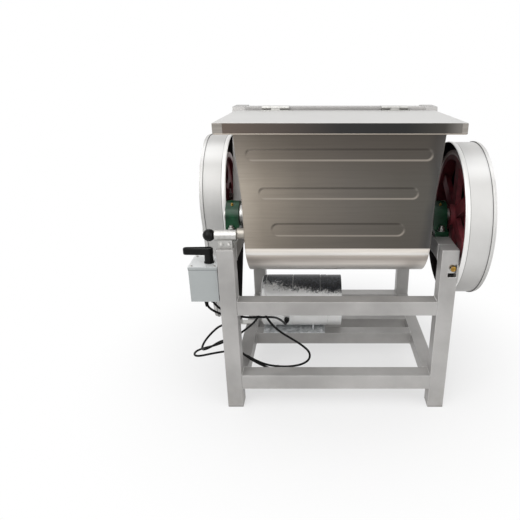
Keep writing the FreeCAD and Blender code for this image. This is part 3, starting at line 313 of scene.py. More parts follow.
def trough_sheet():
    """Steel that shows the pale floor where it faces down, and the dark room where it stands upright."""
    steel = Finish("trough_brushed_steel", Metallic=0.8)
    scratches = steel.noise(1.0, 4.0, 0.7, steel.stretched(5.0, 240.0, 240.0))
    cloud = steel.noise(4.0, 4.0, 0.6)
    across = (steel.axis("X") - spot(0, 0, 0).x + 0.29) / 0.58 + (cloud - 0.5) * 0.12
    # A painted reflection across the front panel: light at the left, darker to the right, a little lighter
    # again at the far right edge.
    upright = steel.ramp(across, (0.03, "#B1A79A"), (0.13, "#958C80"), (0.3, "#7A736A"), (0.55, "#68635D"),
                         (0.8, "#5C5852"), (0.92, "#595651"), (0.96, "#484847"), (0.99, "#5A5B5C"))
    height = (steel.axis("Z") - 0.42) / 0.13
    # The round bottom's painted reflection of the pale floor, with a bright painted highlight line across it.
    bottom = steel.ramp(height, (0.0, "#8D8984"), (0.28, "#BDB8B3"), (0.46, "#EAE2DA"), (0.62, "#D2C9C1"),
                        (0.71, "#E2D9D0"), (0.77, "#FFFDF9"), (0.84, "#F4EDE5"), (0.93, "#EDE5DC"))
    up, side = steel.faces("Z"), steel.faces("X")
    front = steel.band(0 - steel.faces("Y"), 0.5, 0.75)
    level = steel.axis("Z")
    # Painted shadow under the lid, and painted shade towards the lower part of the front panel.
    lid_and_low_shade = steel.band(level, 0.71, 0.86) * 0.6 + (1 - steel.band(level, 0.55, 0.68)) * 0.25
    hung = steel.blend(lid_and_low_shade * front, upright, linear("#4A433D"))
    # Painted shade on the beads' upper slopes and left ends, and a painted highlight on their lower slopes and
    # right ends.
    shaded = steel.blend(steel.band(up - side * 0.7, 0.02, 0.35) * front * 0.8, hung, linear("#2B2723"))
    raised = steel.blend(steel.band(side * 0.7 - up, 0.12, 0.5) * front * 0.75, shaded, linear("#B5ACA1"))
    below = 1 - steel.band(level, 0.5405, 0.5425)
    seen = steel.blend(below * steel.band(0 - up, 0.13, 0.3), raised, bottom)
    covered = steel.blend(steel.outward(spot(0, 196, 660)), linear("#A39D94"), seen)
    streaked = steel.blend(steel.band(scratches, 0.3, 0.8) * 0.16, covered, linear("#3B3733"))
    steel.set(Base_Color=streaked, Roughness=0.24 + scratches * 0.16, Normal=steel.bump(scratches, 0.00003))
    return steel.material


def lid_sheet():
    """The same sheet: pale on top, where it shows the ceiling, and dark on its upright skirt."""
    steel = Finish("lid_brushed_steel", Metallic=0.6)
    scratches = steel.noise(1.0, 4.0, 0.7, steel.stretched(5.0, 240.0, 240.0))
    across = (steel.axis("X") - spot(0, 0, 0).x + 0.34) / 0.68
    # The skirt's painted reflection: dark across the middle, lighter towards both ends.
    skirt = steel.ramp(across, (0.0, "#A09992"), (0.04, "#8F867F"), (0.05, "#62574F"), (0.25, "#4E4641"),
                       (0.5, "#2A2929"), (0.75, "#242424"), (0.9, "#3B3834"), (0.97, "#77736E"),
                       (0.985, "#B5B3B0"))
    flat = steel.add("ShaderNodeMath", {"operation": "ABSOLUTE"}, steel.faces("Z"))
    top = steel.blend(steel.noise(3.0, 3.0, 0.5), linear("#BDBCBA"), linear("#CECDCB"))
    steel.set(Base_Color=steel.blend(steel.band(flat, 0.12, 0.5), skirt, top),
              Roughness=0.3 + scratches * 0.14, Normal=steel.bump(scratches, 0.00003))
    return steel.material


def motor_barrel_metal():
    """Mottled zinc, with painted shade and light: dark above, a painted shade under the trough, more so to the
    right, and bright below, a painted highlight.
    """
    steel = Finish("motor_mottled_zinc", Metallic=0.25)
    fine, patch = steel.noise(120.0, 5.0, 0.75), steel.noise(22.0, 4.0, 0.6)
    slant = (steel.axis("X") - MOTOR_LINE.x + 0.12) * 0.8
    edge = steel.faces("Z") + (fine - 0.5) * 0.6 + (patch - 0.5) * 0.45 + slant
    # Painted shade: the barrel's upper faces go dark, more so to the right; the rest is a bright painted
    # highlight.
    dust_and_shade = steel.band(edge, 0.68, 0.86)
    dark = steel.blend(steel.band(fine, 0.4, 0.66), linear("#101115"), linear("#484B51"))
    light = steel.blend(patch, linear("#E2E2E0"), linear("#FBFBFB"))
    steel.set(Base_Color=steel.blend(dust_and_shade, light, dark), Roughness=0.3 + fine * 0.2,
              Normal=steel.bump(fine, 0.00005))
    return steel.material


TROUGH_STEEL = trough_sheet()
LID_STEEL = lid_sheet()
RIM_STEEL = brushed("trough_rim_steel", "#B4ABA0", "#938B81", 0.3)
TAB_STEEL = brushed("folded_tab_steel", "#A39E98", "#827D77", 0.3)
INNER_STEEL = brushed("agitator_steel", "#B9B4AB", "#8F8A82", 0.32)
BRIGHT_STEEL = brushed("machined_steel", "#C9C8C5", "#A5A4A1", 0.24, (120.0, 120.0, 120.0))
MOTOR_METAL = motor_barrel_metal()
PINION_STEEL = brushed("oiled_pinion_steel", "#7C7A76", "#5B5955", 0.3, (120.0, 120.0, 120.0))

# %% [markdown]
# ### The other finishes
#
# Green enamel on the bearing housings, dark red lead paint on the cast wheels with bare bright teeth, zinc on
# the motor's saddle, and the blacks: moulded plastic, belt rubber and cable sheath each shine differently.

# %% Enamel, red oxide, zinc and the blacks
def enamel(name, colour, shadow, rough):
    paint = Finish(name, Coat_Weight=0.12, Coat_Roughness=0.15, Specular_IOR_Level=0.3)
    cloud = paint.noise(18.0, 4.0, 0.6)
    chipped = paint.edge_wear_and_highlight(0.0015) * paint.band(paint.noise(60.0), 0.45, 0.6)
    tinted = paint.blend(paint.band(cloud, 0.3, 0.7), linear(shadow), linear(colour))
    paint.set(Base_Color=paint.blend(chipped, tinted, linear("#6E6A64")), Roughness=rough + cloud * 0.2,
              Normal=paint.bump(paint.noise(90.0, 4.0), 0.0002))
    return paint.material


def cast_wheel(name, centre, rim_radius):
    """Red oxide paint, with the rim's working face worn to bare metal."""
    wheel = Finish(name)
    cloud = wheel.noise(24.0, 5.0, 0.65)
    across, up = wheel.axis("Y") - centre.y, wheel.axis("Z") - centre.z
    radius = (across * across + up * up) ** 0.5
    bare = wheel.band(radius, rim_radius - 0.004, rim_radius)
    paint = wheel.blend(wheel.band(cloud, 0.3, 0.7), linear("#5C2127"), linear("#86333B"))
    wheel.set(Base_Color=wheel.blend(bare, paint, linear("#9C8885")), Metallic=bare * 0.45,
              Roughness=0.62 - bare * 0.25, Normal=wheel.bump(wheel.noise(160.0, 5.0), 0.0005))
    return wheel.material


def zinc():
    coat = Finish("galvanised_zinc", Metallic=0.35)
    spangle = coat.add("ShaderNodeTexVoronoi", None, Vector=coat.where(), Scale=90.0, output=1)
    shade = coat.add("ShaderNodeRGBToBW", None, spangle)
    coat.set(Base_Color=coat.blend(shade, linear("#9FA2A4"), linear("#DCDEDF")), Roughness=0.35 + shade * 0.2,
             Normal=coat.bump(shade, 0.00008))
    return coat.material


def black(name, colour, rough, grain, depth, shine):
    stuff = Finish(name, Specular_IOR_Level=shine)
    fine = stuff.noise(grain, 3.0, 0.6)
    smear = stuff.noise(12.0, 3.0, 0.6)
    stuff.set(Base_Color=stuff.blend(smear * 0.5, linear(colour), linear("#1E1E1D")),
              Roughness=rough + smear * 0.2, Normal=stuff.bump(fine, depth))
    return stuff.material


BEARING_GREEN = enamel("bearing_green_enamel", "#0A4A2B", "#042615", 0.2)
GEAR_RED = cast_wheel("gear_red_oxide", SHAFT_LINE, 0.190)
PULLEY_RED = cast_wheel("pulley_red_oxide", COUNTER_LINE, 0.146)
MOTOR_PULLEY_RED = cast_wheel("motor_pulley_red_oxide", MOTOR_LINE, 0.033)
ZINC = zinc()
BLACK_PLASTIC = black("black_moulded_plastic", "#080808", 0.18, 500.0, 0.00003, 0.14)
BELT_RUBBER = black("belt_rubber", "#121211", 0.7, 800.0, 0.0001, 0.3)
CABLE_SHEATH = black("cable_sheath", "#080808", 0.36, 700.0, 0.00003, 0.12)
BRASS = brushed("brass_bolt", "#B9944A", "#7D5E2A", 0.34, (120.0, 120.0, 120.0))
print("finishes", len(bpy.data.materials))

# %% [markdown]
# ## Cables
#
# A cable is a fixed length of something springy. It leaves its gland straight down, passes behind the post,
# is hung twice over a peg behind the upper rail, and its loops sag between that peg and the side rail. A
# NURBS curve of order three led by a list of control points bends the way such a cable does: no corner, and
# no straight piece where two bends meet.

# %% The mains lead and the motor lead
MAINS_ROUTE = [
    (-404, 57, 362), (-404, 57, 341), (-388, 62, 321), (-362, 64, 307), (-331, 62, 301),
    (-303, 59, 312), (-287, 57, 335), (-269, 56, 353), (-246, 56, 352), (-230, 56, 334),
    (-221, 58, 302), (-201, 66, 264), (-174, 75, 233), (-141, 86, 204), (-108, 94, 175),
    (-83, 97, 146), (-86, 93, 119), (-114, 86, 105), (-154, 80, 102), (-191, 80, 103),
    (-228, 84, 106), (-263, 90, 118), (-293, 95, 134), (-323, 97, 148), (-354, 98, 152),
    (-388, 97, 147), (-421, 97, 140), (-449, 99, 132), (-470, 107, 126), (-480, 124, 123),
    (-478, 145, 121), (-464, 160, 121), (-442, 167, 124), (-414, 166, 132), (-385, 161, 147),
    (-355, 154, 165), (-325, 146, 188), (-294, 135, 218), (-266, 118, 250), (-248, 101, 286),
    (-238, 90, 322), (-241, 84, 344), (-254, 80, 359), (-275, 77, 359), (-290, 75, 343),
    (-295, 73, 320), (-299, 72, 296), (-314, 73, 275), (-341, 78, 265), (-375, 88, 254),
    (-407, 95, 222), (-433, 101, 188), (-447, 110, 159), (-451, 127, 138), (-443, 147, 128),
    (-425, 159, 132), (-403, 158, 148), (-379, 145, 165), (-352, 121, 173), (-324, 92, 162),
    (-293, 80, 141), (-260, 74, 121), (-227, 72, 105), (-198, 74, 91), (-170, 82, 72),
    (-146, 94, 48), (-120, 112, 27), (-90, 126, 18), (-58, 126, 18)]
MOTOR_ROUTE = [
    (-392, 86, 362), (-392, 86, 341), (-377, 88, 320), (-352, 88, 302), (-320, 86, 290),
    (-286, 84, 285), (-252, 84, 286), (-222, 96, 280), (-200, 122, 266), (-185, 157, 238),
    (-175, 190, 208), (-170, 217, 184), (-170, 243, 184)]
CORD_RADIUS = 0.0036


def cable(name, route):
    curve = bpy.data.curves.new(name, "CURVE")
    curve.dimensions = "3D"
    line = curve.splines.new("NURBS")
    line.points.add(len(route) - 1)
    for point, place in zip(line.points, route):
        point.co = (*spot(*place), 1.0)
    line.order_u = 3
    line.use_endpoint_u = True
    line.resolution_u = 6
    curve.bevel_depth = CORD_RADIUS
    curve.bevel_resolution = 4
    curve.use_fill_caps = True
    piece = bpy.data.objects.new(name, curve)
    bpy.context.scene.collection.objects.link(piece)
    curve.materials.append(CABLE_SHEATH)
    return piece


def run_length(piece):
    """The cable's own length, measured along its centre line."""
    bare = piece.data.copy()
    bare.bevel_depth = 0
    holder = bpy.data.objects.new("measuring", bare)
    mesh = bpy.data.meshes.new_from_object(holder)
    places = [vertex.co for vertex in mesh.vertices]
    total = sum((places[edge.vertices[0]] - places[edge.vertices[1]]).length for edge in mesh.edges)
    bpy.data.objects.remove(holder)
    bpy.data.meshes.remove(mesh)
    return total


mains_lead = cable("mains_lead", MAINS_ROUTE)
motor_lead = cable("motor_supply_lead", MOTOR_ROUTE)

# %% [markdown]
# ## Making and placing pieces
#
# `add_piece` puts a mesh into the scene with its finish, lets it ride on its CAD body and, where it stands
# for a CAD node, hides that node. A CAD mesh is loose triangles, so a copy that gets its edges rounded is
# merged into flat faces first.

# %% Placing a piece
def add_piece(name, mesh, material, body, slot, *stands_for):
    piece = bpy.data.objects.new(name, mesh)
    bpy.context.scene.collection.objects.link(piece)
    mesh.materials.clear()
    mesh.materials.append(material)
    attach(piece, body)
    if stands_for:
        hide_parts(*stands_for)
    return piece


def smooth(mesh, angle=32):
    mesh.shade_smooth()
    mesh.set_sharp_from_angle(angle=math.radians(angle))


def closed_mesh(work, name, angle=32):
    """The plain mesh of a finished shape, with its faces turned outwards and its round parts smooth."""
    bmesh.ops.recalc_face_normals(work, faces=work.faces)
    mesh = bpy.data.meshes.new(name)
    work.to_mesh(mesh)
    work.free()
    smooth(mesh, angle)
    return mesh


def skin(work, rings):
    """Joins each ring of points to the next with four-sided faces. A ring of one point is a pole."""
    for lower, upper in zip(rings, rings[1:]):
        sides = max(len(lower), len(upper))
        for k in range(sides):
            n = (k + 1) % sides
            corners = [lower[k % len(lower)], lower[n % len(lower)]]
            corners += [upper[n % len(upper)], upper[k % len(upper)]]
            corners = list(dict.fromkeys(corners))
            if len(corners) > 2:
                work.faces.new(corners)


def welded_copy(node):
    """A copy of a CAD node's mesh with its triangles merged back into flat faces.

    The end of a tube is a ring, and a face has no hole, so merging leaves a hooked face there that doesn't
    round well. Where merging makes a hooked face or changes the area, the triangles are only paired.
    """
    mesh = NODES[node].data.copy()
    work = bmesh.new()
    work.from_mesh(mesh)
    bmesh.ops.remove_doubles(work, verts=work.verts, dist=2e-6)
    area = sum(face.calc_area() for face in work.faces)
    merged = work.copy()
    nearly_flat = math.radians(1.5)
    bmesh.ops.dissolve_limit(merged, angle_limit=nearly_flat, verts=merged.verts, edges=merged.edges)
    whole = abs(sum(face.calc_area() for face in merged.faces) - area) < area * 0.0005
    whole = whole and all(corner.is_convex for face in merged.faces for corner in face.loops)
    if not whole:
        bmesh.ops.join_triangles(work, faces=work.faces, angle_face_threshold=math.radians(1),
                                 angle_shape_threshold=math.radians(180))
    (merged if whole else work).to_mesh(mesh)
    work.free()
    merged.free()
    if mesh.has_custom_normals:
        mesh.attributes.remove(mesh.attributes["custom_normal"])
    return mesh


def softened(node, slot, material, edge, steps=2, angle=35, name=None):
    """A CAD node with its edges rounded, standing for the node."""
    mesh = welded_copy(node)
    smooth(mesh, angle)
    piece = add_piece(name or f"{node}_rounded", mesh, material, BODY_OF[node], slot, node)
    bevel = piece.modifiers.new("rounded edges", "BEVEL")
    bevel.width, bevel.segments = edge / 1000, steps
    bevel.limit_method, bevel.angle_limit = "ANGLE", math.radians(angle)
    bevel.harden_normals = True
    bevel.miter_outer = "MITER_ARC"
    return piece


# %% [markdown]
# ### Cable ends and lengths
#
# The free lead ends in its plug, which is a CAD node. Where each lead leaves its gland, a tapered rubber
# sleeve keeps it from kinking, and a plastic tie holds the loops together. Sleeves and tie are turned shapes:
# a profile spun about a line.

# %% Strain reliefs and cable facts
def revolve(profile, start, direction, sides=48, bore=False):
    """A turned shape: (distance along, radius) pairs in millimetres, spun about a line.

    With a bore, the last ring is joined to the first. Otherwise an end that isn't a pole gets a flat cap.
    """
    along = Vector(direction).normalized()
    side = along.orthogonal().normalized()
    other = along.cross(side)
    work = bmesh.new()
    rings = []
    for distance, radius in profile:
        centre = start + along * distance / 1000
        if radius == 0:
            rings.append([work.verts.new(centre)])
            continue
        rings.append([work.verts.new(centre + (side * math.cos(a) + other * math.sin(a)) * radius / 1000)
                      for a in (2 * math.pi * k / sides for k in range(sides))])
    skin(work, rings + rings[:bore])
    for ring in (rings[0][::-1], rings[-1]):
        if len(ring) > 1 and not bore:
            work.faces.new(ring)
    return closed_mesh(work, "turned")


def relief(name, top):
    """A ribbed, tapered sleeve below a gland."""
    profile = [(0, 7.2), (3, 7.2)]
    for rib in range(5):
        at, radius = 3 + rib * 4.2, 6.9 - rib * 0.55
        profile += [(at + 0.4, radius - 1.0), (at + 1.8, radius - 1.0), (at + 2.2, radius)]
        profile += [(at + 4.0, radius - 0.15)]
    profile += [(24.5, 4.0), (25, 3.8)]
    return add_piece(name, revolve(profile, top, (0, 0, -1), 32), BLACK_PLASTIC, "frame", "cable_black")


mains_relief = relief("mains_strain_relief", spot(-404, 57, 364))
motor_relief = relief("motor_lead_strain_relief", spot(-392, 86, 364))
tie_place = spot(*MAINS_ROUTE[19])
tie_way = spot(*MAINS_ROUTE[20]) - spot(*MAINS_ROUTE[18])
tie_ring = [(-1.6, 3.4), (-1.6, 4.7), (-1.2, 5.0), (1.2, 5.0), (1.6, 4.7), (1.6, 3.4)]
tie_mesh = revolve(tie_ring, tie_place, tie_way, 24, bore=True)
cable_tie = add_piece("cable_tie", tie_mesh, BLACK_PLASTIC, "frame", "cable_black")
for lead, node in ((mains_lead, "power_cord"), (motor_lead, "motor_lead")):
    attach(lead, "frame")
    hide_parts(node)
    print(lead.name, "length", round(run_length(lead), 3))
round(run_length(mains_lead), 3)
round(run_length(motor_lead), 3)

# %% [markdown]
# ## The frame
#
# Rolled square tube has round corners, about 3 mm on this size. The CAD tubes have sharp ones, so each is
# shown as a copy with a bevel. Black plastic plugs close the rear ends of the two bearing beams.

# %% Tubes with rolled corners
TUBES = ["front_left_leg", "rear_left_leg", "rear_right_leg", "left_bearing_beam", "left_lower_side_rail",
         "right_bearing_beam", "right_lower_side_rail", "front_upper_rail", "front_lower_rail",
         "rear_lower_rail", "rear_upper_rail", "front_motor_rail", "rear_motor_rail", "lid_crossbeam",
         "front_right_leg"]
for tube in TUBES:
    softened(tube, "frame_paint", FRAME_PAINT, 2.6, 3)
for stand in ("left_lid_stand", "right_lid_stand"):
    softened(stand, "frame_paint", FRAME_PAINT, 1.2, 2)


def plate(name, low, high, edge, material, body, slot):
    """A small flat plate between two layout corners, with eased edges."""
    work = bmesh.new()
    a, b = spot(*low), spot(*high)
    bmesh.ops.create_cube(work, size=1)
    for vertex in work.verts:
        vertex.co = Vector([(a[i] + b[i]) / 2 + vertex.co[i] * abs(b[i] - a[i]) for i in range(3)])
    bmesh.ops.bevel(work, geom=list(work.edges), offset=edge / 1000, segments=2, affect="EDGES",
                    clamp_overlap=True)
    return add_piece(name, closed_mesh(work, name), material, body, slot)


for side, word in ((-1, "left"), (1, "right")):
    near_x, far_x = sorted((side * 303.2, side * 346.8))
    plate(f"{word}_beam_end_plug", (near_x, 644, 499.2), (far_x, 649.8, 542.8), 1.2, BLACK_PLASTIC,
          "frame", "black_plastic")

# %% [markdown]
# ### Weld seams
#
# Where one tube is welded to another there is a bead: overlapping ripples, like a row of coins pushed over.
# That is a shape following a path, which is what Geometry Nodes are for. The path is a plain mesh of edges,
# and the tree walks along it and lays down a small ball every few millimetres.

# %% A small helper for geometry trees
def geometry_tree(name, inputs):
    tree = bpy.data.node_groups.new(name, "GeometryNodeTree")
    tree.interface.new_socket("Geometry", in_out="INPUT", socket_type="NodeSocketGeometry")
    tree.interface.new_socket("Geometry", in_out="OUTPUT", socket_type="NodeSocketGeometry")
    for label, kind in inputs.items():
        tree.interface.new_socket(label, in_out="INPUT", socket_type=kind)
    source = tree.nodes.new("NodeGroupInput")
    result = tree.nodes.new("NodeGroupOutput")
    return tree, source, result


def step(tree, kind, settings=None, *values, **feeds):
    """Adds a node: its settings, then its sockets in their order or by name. It gives the node."""
    node = tree.nodes.new(kind)
    for key, value in (settings or {}).items():
        setattr(node, key, value)
    for key, value in [*enumerate(values), *feeds.items()]:
        socket = node.inputs[key.replace("_", " ") if isinstance(key, str) else key]
        if isinstance(value, bpy.types.NodeSocket):
            tree.links.new(value, socket)
        else:
            socket.default_value = value
    return node


def close_tree(tree, source, result, instances):
    """Makes the instances real and gives them their metal, because an export drops plain instances."""
    real = step(tree, "GeometryNodeRealizeInstances", None, instances.outputs[0])
    coated = step(tree, "GeometryNodeSetMaterial", Geometry=real.outputs[0], Material=source.outputs["Metal"])
    tree.links.new(coated.outputs[0], result.inputs[0])


def grown(name, path_mesh, tree, values):
    """The plain mesh that a tree makes of a path."""
    holder = bpy.data.objects.new(name, path_mesh)
    bpy.context.scene.collection.objects.link(holder)
    modifier = holder.modifiers.new("grow", "NODES")
    modifier.node_group = tree
    for item in tree.interface.items_tree:
        if item.name in values:
            modifier[item.identifier] = values[item.name]
    bpy.context.view_layer.update()
    evaluated = holder.evaluated_get(bpy.context.evaluated_depsgraph_get())
    mesh = bpy.data.meshes.new_from_object(evaluated)
    bpy.data.objects.remove(holder)
    mesh.name = name
    return mesh


def loose_lines(name, lines):
    """A mesh of open or closed runs of points, given in layout millimetres."""
    points, edges = [], []
    for line, closed in lines:
        first = len(points)
        points += [spot(*p) for p in line]
        edges += [(first + k, first + k + 1) for k in range(len(line) - 1)]
        if closed:
            edges.append((first + len(line) - 1, first))
    mesh = bpy.data.meshes.new(name)
    mesh.from_pydata(points, edges, [])
    return mesh


# %% The weld tree
weld_tree, weld_in, weld_out = geometry_tree("weld_seam", {
    "Spacing": "NodeSocketFloat", "Radius": "NodeSocketFloat", "Metal": "NodeSocketMaterial"})
path = step(weld_tree, "GeometryNodeMeshToCurve", Mesh=weld_in.outputs["Geometry"])
spaced = step(weld_tree, "GeometryNodeResampleCurve", {"mode": "LENGTH"}, Curve=path.outputs[0],
              Length=weld_in.outputs["Spacing"])
ripple = step(weld_tree, "GeometryNodeMeshUVSphere", Segments=6, Rings=4, Radius=weld_in.outputs["Radius"])
wobble = step(weld_tree, "FunctionNodeRandomValue", {"data_type": "FLOAT"}, Seed=7)
wobble.inputs[2].default_value, wobble.inputs[3].default_value = 0.8, 1.15
beads = step(weld_tree, "GeometryNodeInstanceOnPoints", Points=spaced.outputs[0],
             Instance=ripple.outputs["Mesh"], Scale=wobble.outputs[1])
close_tree(weld_tree, weld_in, weld_out, beads)


def ring_x(x, y, z, width, ground=None):
    """The square seam round a tube's end, in a plane across X. A side that lies flush is ground away."""
    near, far = y + 3 * (ground == "front"), y + width - 3 * (ground == "rear")
    ring = [(x, near, z), (x, far, z), (x, far, z - width), (x, near, z - width)]
    return (ring[2:] + ring[:2] if ground == "rear" else ring), ground is None


def ring_y(x, y, z, width):
    h = width / 2
    return [(x - h, y, z), (x + h, y, z), (x + h, y, z - width), (x - h, y, z - width)], True


seams = []
for side in (-1, 1):
    seams += [ring_x(side * 300, 0, 381, 45, "front"), ring_x(side * 300, 0, 121, 50, "front"),
              ring_x(side * 280, 600, 121, 50, "rear"), ring_x(side * 300, 600, 546, 50, "rear"),
              ring_x(side * 285, 270, 121, 45), ring_x(side * 285, 380, 121, 45),
              ring_x(side * 300, 397, 911, 50), ring_y(side * 307.5, 50, 121, 45),
              ring_y(side * 307.5, 600, 121, 45),
              ([(side * 300, 50, 546), (side * 300, 50, 496), (side * 350, 50, 496)], False)]
    seams += [([(side * 300, y, 546), (side * 345, y, 546)], False) for y in (285, 540)]
weld_mesh = grown("weld_seams", loose_lines("seam_paths", seams), weld_tree,
                  {"Spacing": 0.0034, "Radius": 0.0021, "Metal": FRAME_PAINT})
smooth(weld_mesh, 80)
add_piece("weld_seams", weld_mesh, FRAME_PAINT, "frame", "frame_paint")
print("weld seam triangles", sum(len(p.vertices) - 2 for p in weld_mesh.polygons))

# %% [markdown]
# ## The trough
#
# The trough is one sheet bent round the agitator, with three beads pressed into its front so that it doesn't
# drum. It could be the CAD sheet with a bump in its finish, but a bead of this size shows in the outline of
# its highlight, so the sheet is woven again as a grid and pushed out where the beads are.

# %% The bent sheet with its pressed beads
SHAFT_Y, SHAFT_Z, BEND = 196.0, 596.0, 175.0
CREASE_Z, RIM_Z, FLARE_Z = 541.0, 886.0, 690.0
CREASE_DROP = SHAFT_Z - CREASE_Z
CREASE_HALF = math.sqrt(BEND ** 2 - CREASE_DROP ** 2)
WALL = RIM_Z - CREASE_Z
SHEET, BEAD_RISE, BEAD_SLOPE = 1.9, 2.4, 5.5
BEADS = [(815.5, 254.0, 17.5), (708.0, 224.0, 18.0), (600.0, 193.0, 21.0)]


def sheet_profile():
    """(y, z, outward y, outward z) down the front, round the bottom and up the back."""
    front = [(SHAFT_Y - CREASE_HALF - 22 * (z - CREASE_Z) / WALL, z)
             for z in [RIM_Z - WALL * k / 115 for k in range(115)]]
    start = math.atan2(-CREASE_DROP, -CREASE_HALF)
    sweep = math.atan2(-CREASE_DROP, CREASE_HALF) - start
    turns = [start + sweep * k / 60 for k in range(61)]
    bottom = [(SHAFT_Y + BEND * math.cos(turn), SHAFT_Z + BEND * math.sin(turn)) for turn in turns]
    back = [(SHAFT_Y + CREASE_HALF + 10 * (z - CREASE_Z) / WALL, z)
            for z in [CREASE_Z + WALL * k / 24 for k in range(1, 25)]]
    points = front + bottom + back
    normals = []
    for k, _ in enumerate(points):
        before, after = points[max(k - 1, 0)], points[min(k + 1, len(points) - 1)]
        run = Vector((after[0] - before[0], after[1] - before[1])).normalized()
        normals.append((run.y, -run.x))
    return [(y, z, ny, nz) for (y, z), (ny, nz) in zip(points, normals)]


def bead_height(x, z, y):
    """How far the sheet stands out at a point of the front panel."""
    if y > SHAFT_Y:
        return 0.0
    height = 0.0
    for middle, half, radius in BEADS:
        across = max(abs(x) - (half - radius), 0.0)
        reach = math.hypot(across, z - middle)
        t = min(max((radius - reach) / BEAD_SLOPE, 0.0), 1.0)
        height = max(height, BEAD_RISE * t * t * (3 - 2 * t))
    return height


def trough_sheet_mesh():
    profile = sheet_profile()
    columns = 137
    work = bmesh.new()
    outer, inner = [], []
    for y, z, ny, nz in profile:
        half = 268.0 + (13.0 * (z - FLARE_Z) / (RIM_Z - FLARE_Z) if z > FLARE_Z else 0.0)
        outer.append([])
        inner.append([])
        for k in range(columns):
            x = -half + 2 * half * k / (columns - 1)
            lift = bead_height(x, z, y)
            for rows, depth in ((outer, lift), (inner, lift - SHEET)):
                rows[-1].append(work.verts.new(spot(x, y + ny * depth, z + nz * depth)))
    for rows in (outer, inner):
        for low, high in zip(rows, rows[1:]):
            for k in range(columns - 1):
                work.faces.new([low[k], low[k + 1], high[k + 1], high[k]])
    for k in range(columns - 1):
        for row in (0, -1):
            work.faces.new([outer[row][k], outer[row][k + 1], inner[row][k + 1], inner[row][k]])
    for low in range(len(profile) - 1):
        for k in (0, -1):
            work.faces.new([outer[low][k], outer[low + 1][k], inner[low + 1][k], inner[low][k]])
    return closed_mesh(work, "trough_sheet", 40)


trough_mesh = trough_sheet_mesh()
add_piece("trough_bent_sheet", trough_mesh, TROUGH_STEEL, "trough", "stainless", "trough_wrap")
print("trough sheet faces", len(trough_mesh.polygons))
for node in ("trough_left_end", "trough_right_end"):
    softened(node, "stainless", TROUGH_STEEL, 0.7, 2)
softened("trough_rim", "stainless", RIM_STEEL, 1.4, 3)
softened("lock_boss", "stainless", INNER_STEEL, 0.8)
softened("rear_lug", "stainless", INNER_STEEL, 1.5)
for node in ("left_trough_flange", "right_trough_flange"):
    softened(node, "bright_steel", BRIGHT_STEEL, 0.8)

# %% [markdown]
# ## The lid
#
# The lid is one shallow tray of thin sheet with rolled edges. At both front corners the side skirt is folded
# round and spot welded over the front one, which shows as a lighter tab, and the skirt's lower edge is rolled
# into a thin round hem. The two hinges are bare steel leaves with eased edges.

# %% Lid and its corner tabs
softened("lid", "stainless", LID_STEEL, 1.3, 3, name="lid_tray")
for side, word in ((-1, "left"), (1, "right")):
    low_x, high_x = sorted((side * 331.4, 316 if side > 0 else -305))
    plate(f"lid_{word}_corner_tab", (low_x, -13.9, 872.6), (high_x, -12.6, 899.6), 0.4, TAB_STEEL, "lid",
          "stainless")
hem_rod = revolve([(0, 0), (0, 1.5), (657, 1.5), (657, 0)], spot(-328.5, -13.0, 873.0), (1, 0, 0), 12)
add_piece("lid_skirt_hem", hem_rod, RIM_STEEL, "lid", "stainless")
for node in ("hinge_beam_leaves", "hinge_lid_leaves"):
    softened(node, "bright_steel", BRIGHT_STEEL, 0.4)

# %% [markdown]
# ## Covers
#
# Both covers are pans of thin sheet with soft edges. Round the mouth of each runs a rolled hem, which is one
# small section swept along the cover's outline: a circle on the right, and on the left two circles and their
# two tangents. The outer plate of the belt cover carries a raised rectangle, which is blank.

# %% The two covers and the blank panel
softened("right_gear_cover", "cover_paint", GEAR_COVER_PAINT, 1.1, 3, 30, "gear_cover_drum")
softened("left_belt_cover", "cover_paint", BELT_COVER_PAINT, 1.1, 3, 30, "belt_cover_pan")


def arc(y, z, radius, turns):
    """Points on a circle, each with its outward direction."""
    ways = [(math.cos(turn), math.sin(turn)) for turn in turns]
    return [((y + radius * way[0], z + radius * way[1]), way) for way in ways]


def circle_outline(y, z, radius, sides=128):
    return arc(y, z, radius, [2 * math.pi * k / sides for k in range(sides)])


def teardrop_outline(y, z, radius, tip_y, tip_z, tip_radius, steps=64):
    """Round two circles and along their two common tangents."""
    reach = math.hypot(tip_y - y, tip_z - z)
    heading = math.atan2(tip_z - z, tip_y - y)
    half = math.acos((radius - tip_radius) / reach)
    fewer = steps // 3
    large = [heading + half + (2 * math.pi - 2 * half) * k / steps for k in range(steps + 1)]
    small = [heading - half + 2 * half * k / fewer for k in range(fewer + 1)]
    return arc(y, z, radius, large) + arc(tip_y, tip_z, tip_radius, small)


def hem(name, outline, near, far, lift=1.1):
    """A thin raised strip with eased edges round a cover's mouth, in a paler paint: a painted highlight where
    the hem catches the light.
    """
    ease = (far - near) * 0.06
    section = [(near, -1.8), (near, lift - 0.5), (near + ease, lift), (far - ease, lift), (far, lift - 0.5),
               (far, -0.6)]
    work = bmesh.new()
    skin(work, [[work.verts.new(spot(x, p[0] + n[0] * out, p[1] + n[1] * out)) for p, n in outline]
                for x, out in section])
    return add_piece(name, closed_mesh(work, name, 50), RAISED_HIGHLIGHT_PAINT, "frame", "cover_paint")


hem("gear_cover_hem", circle_outline(222, 578, 240), 352.8, 366)
hem("belt_cover_hem", teardrop_outline(422, 612, 204, 350, 219, 62), -352.8, -366)
plate("belt_cover_blank_panel", (-439.4, 357, 590), (-437.6, 493, 656), 0.8, RAISED_HIGHLIGHT_PAINT, "frame",
      "cover_paint")

# %% [markdown]
# ## Bearings, gears and shafts
#
# The pillow blocks are castings with eased edges under thick enamel. The wheels keep the CAD teeth.

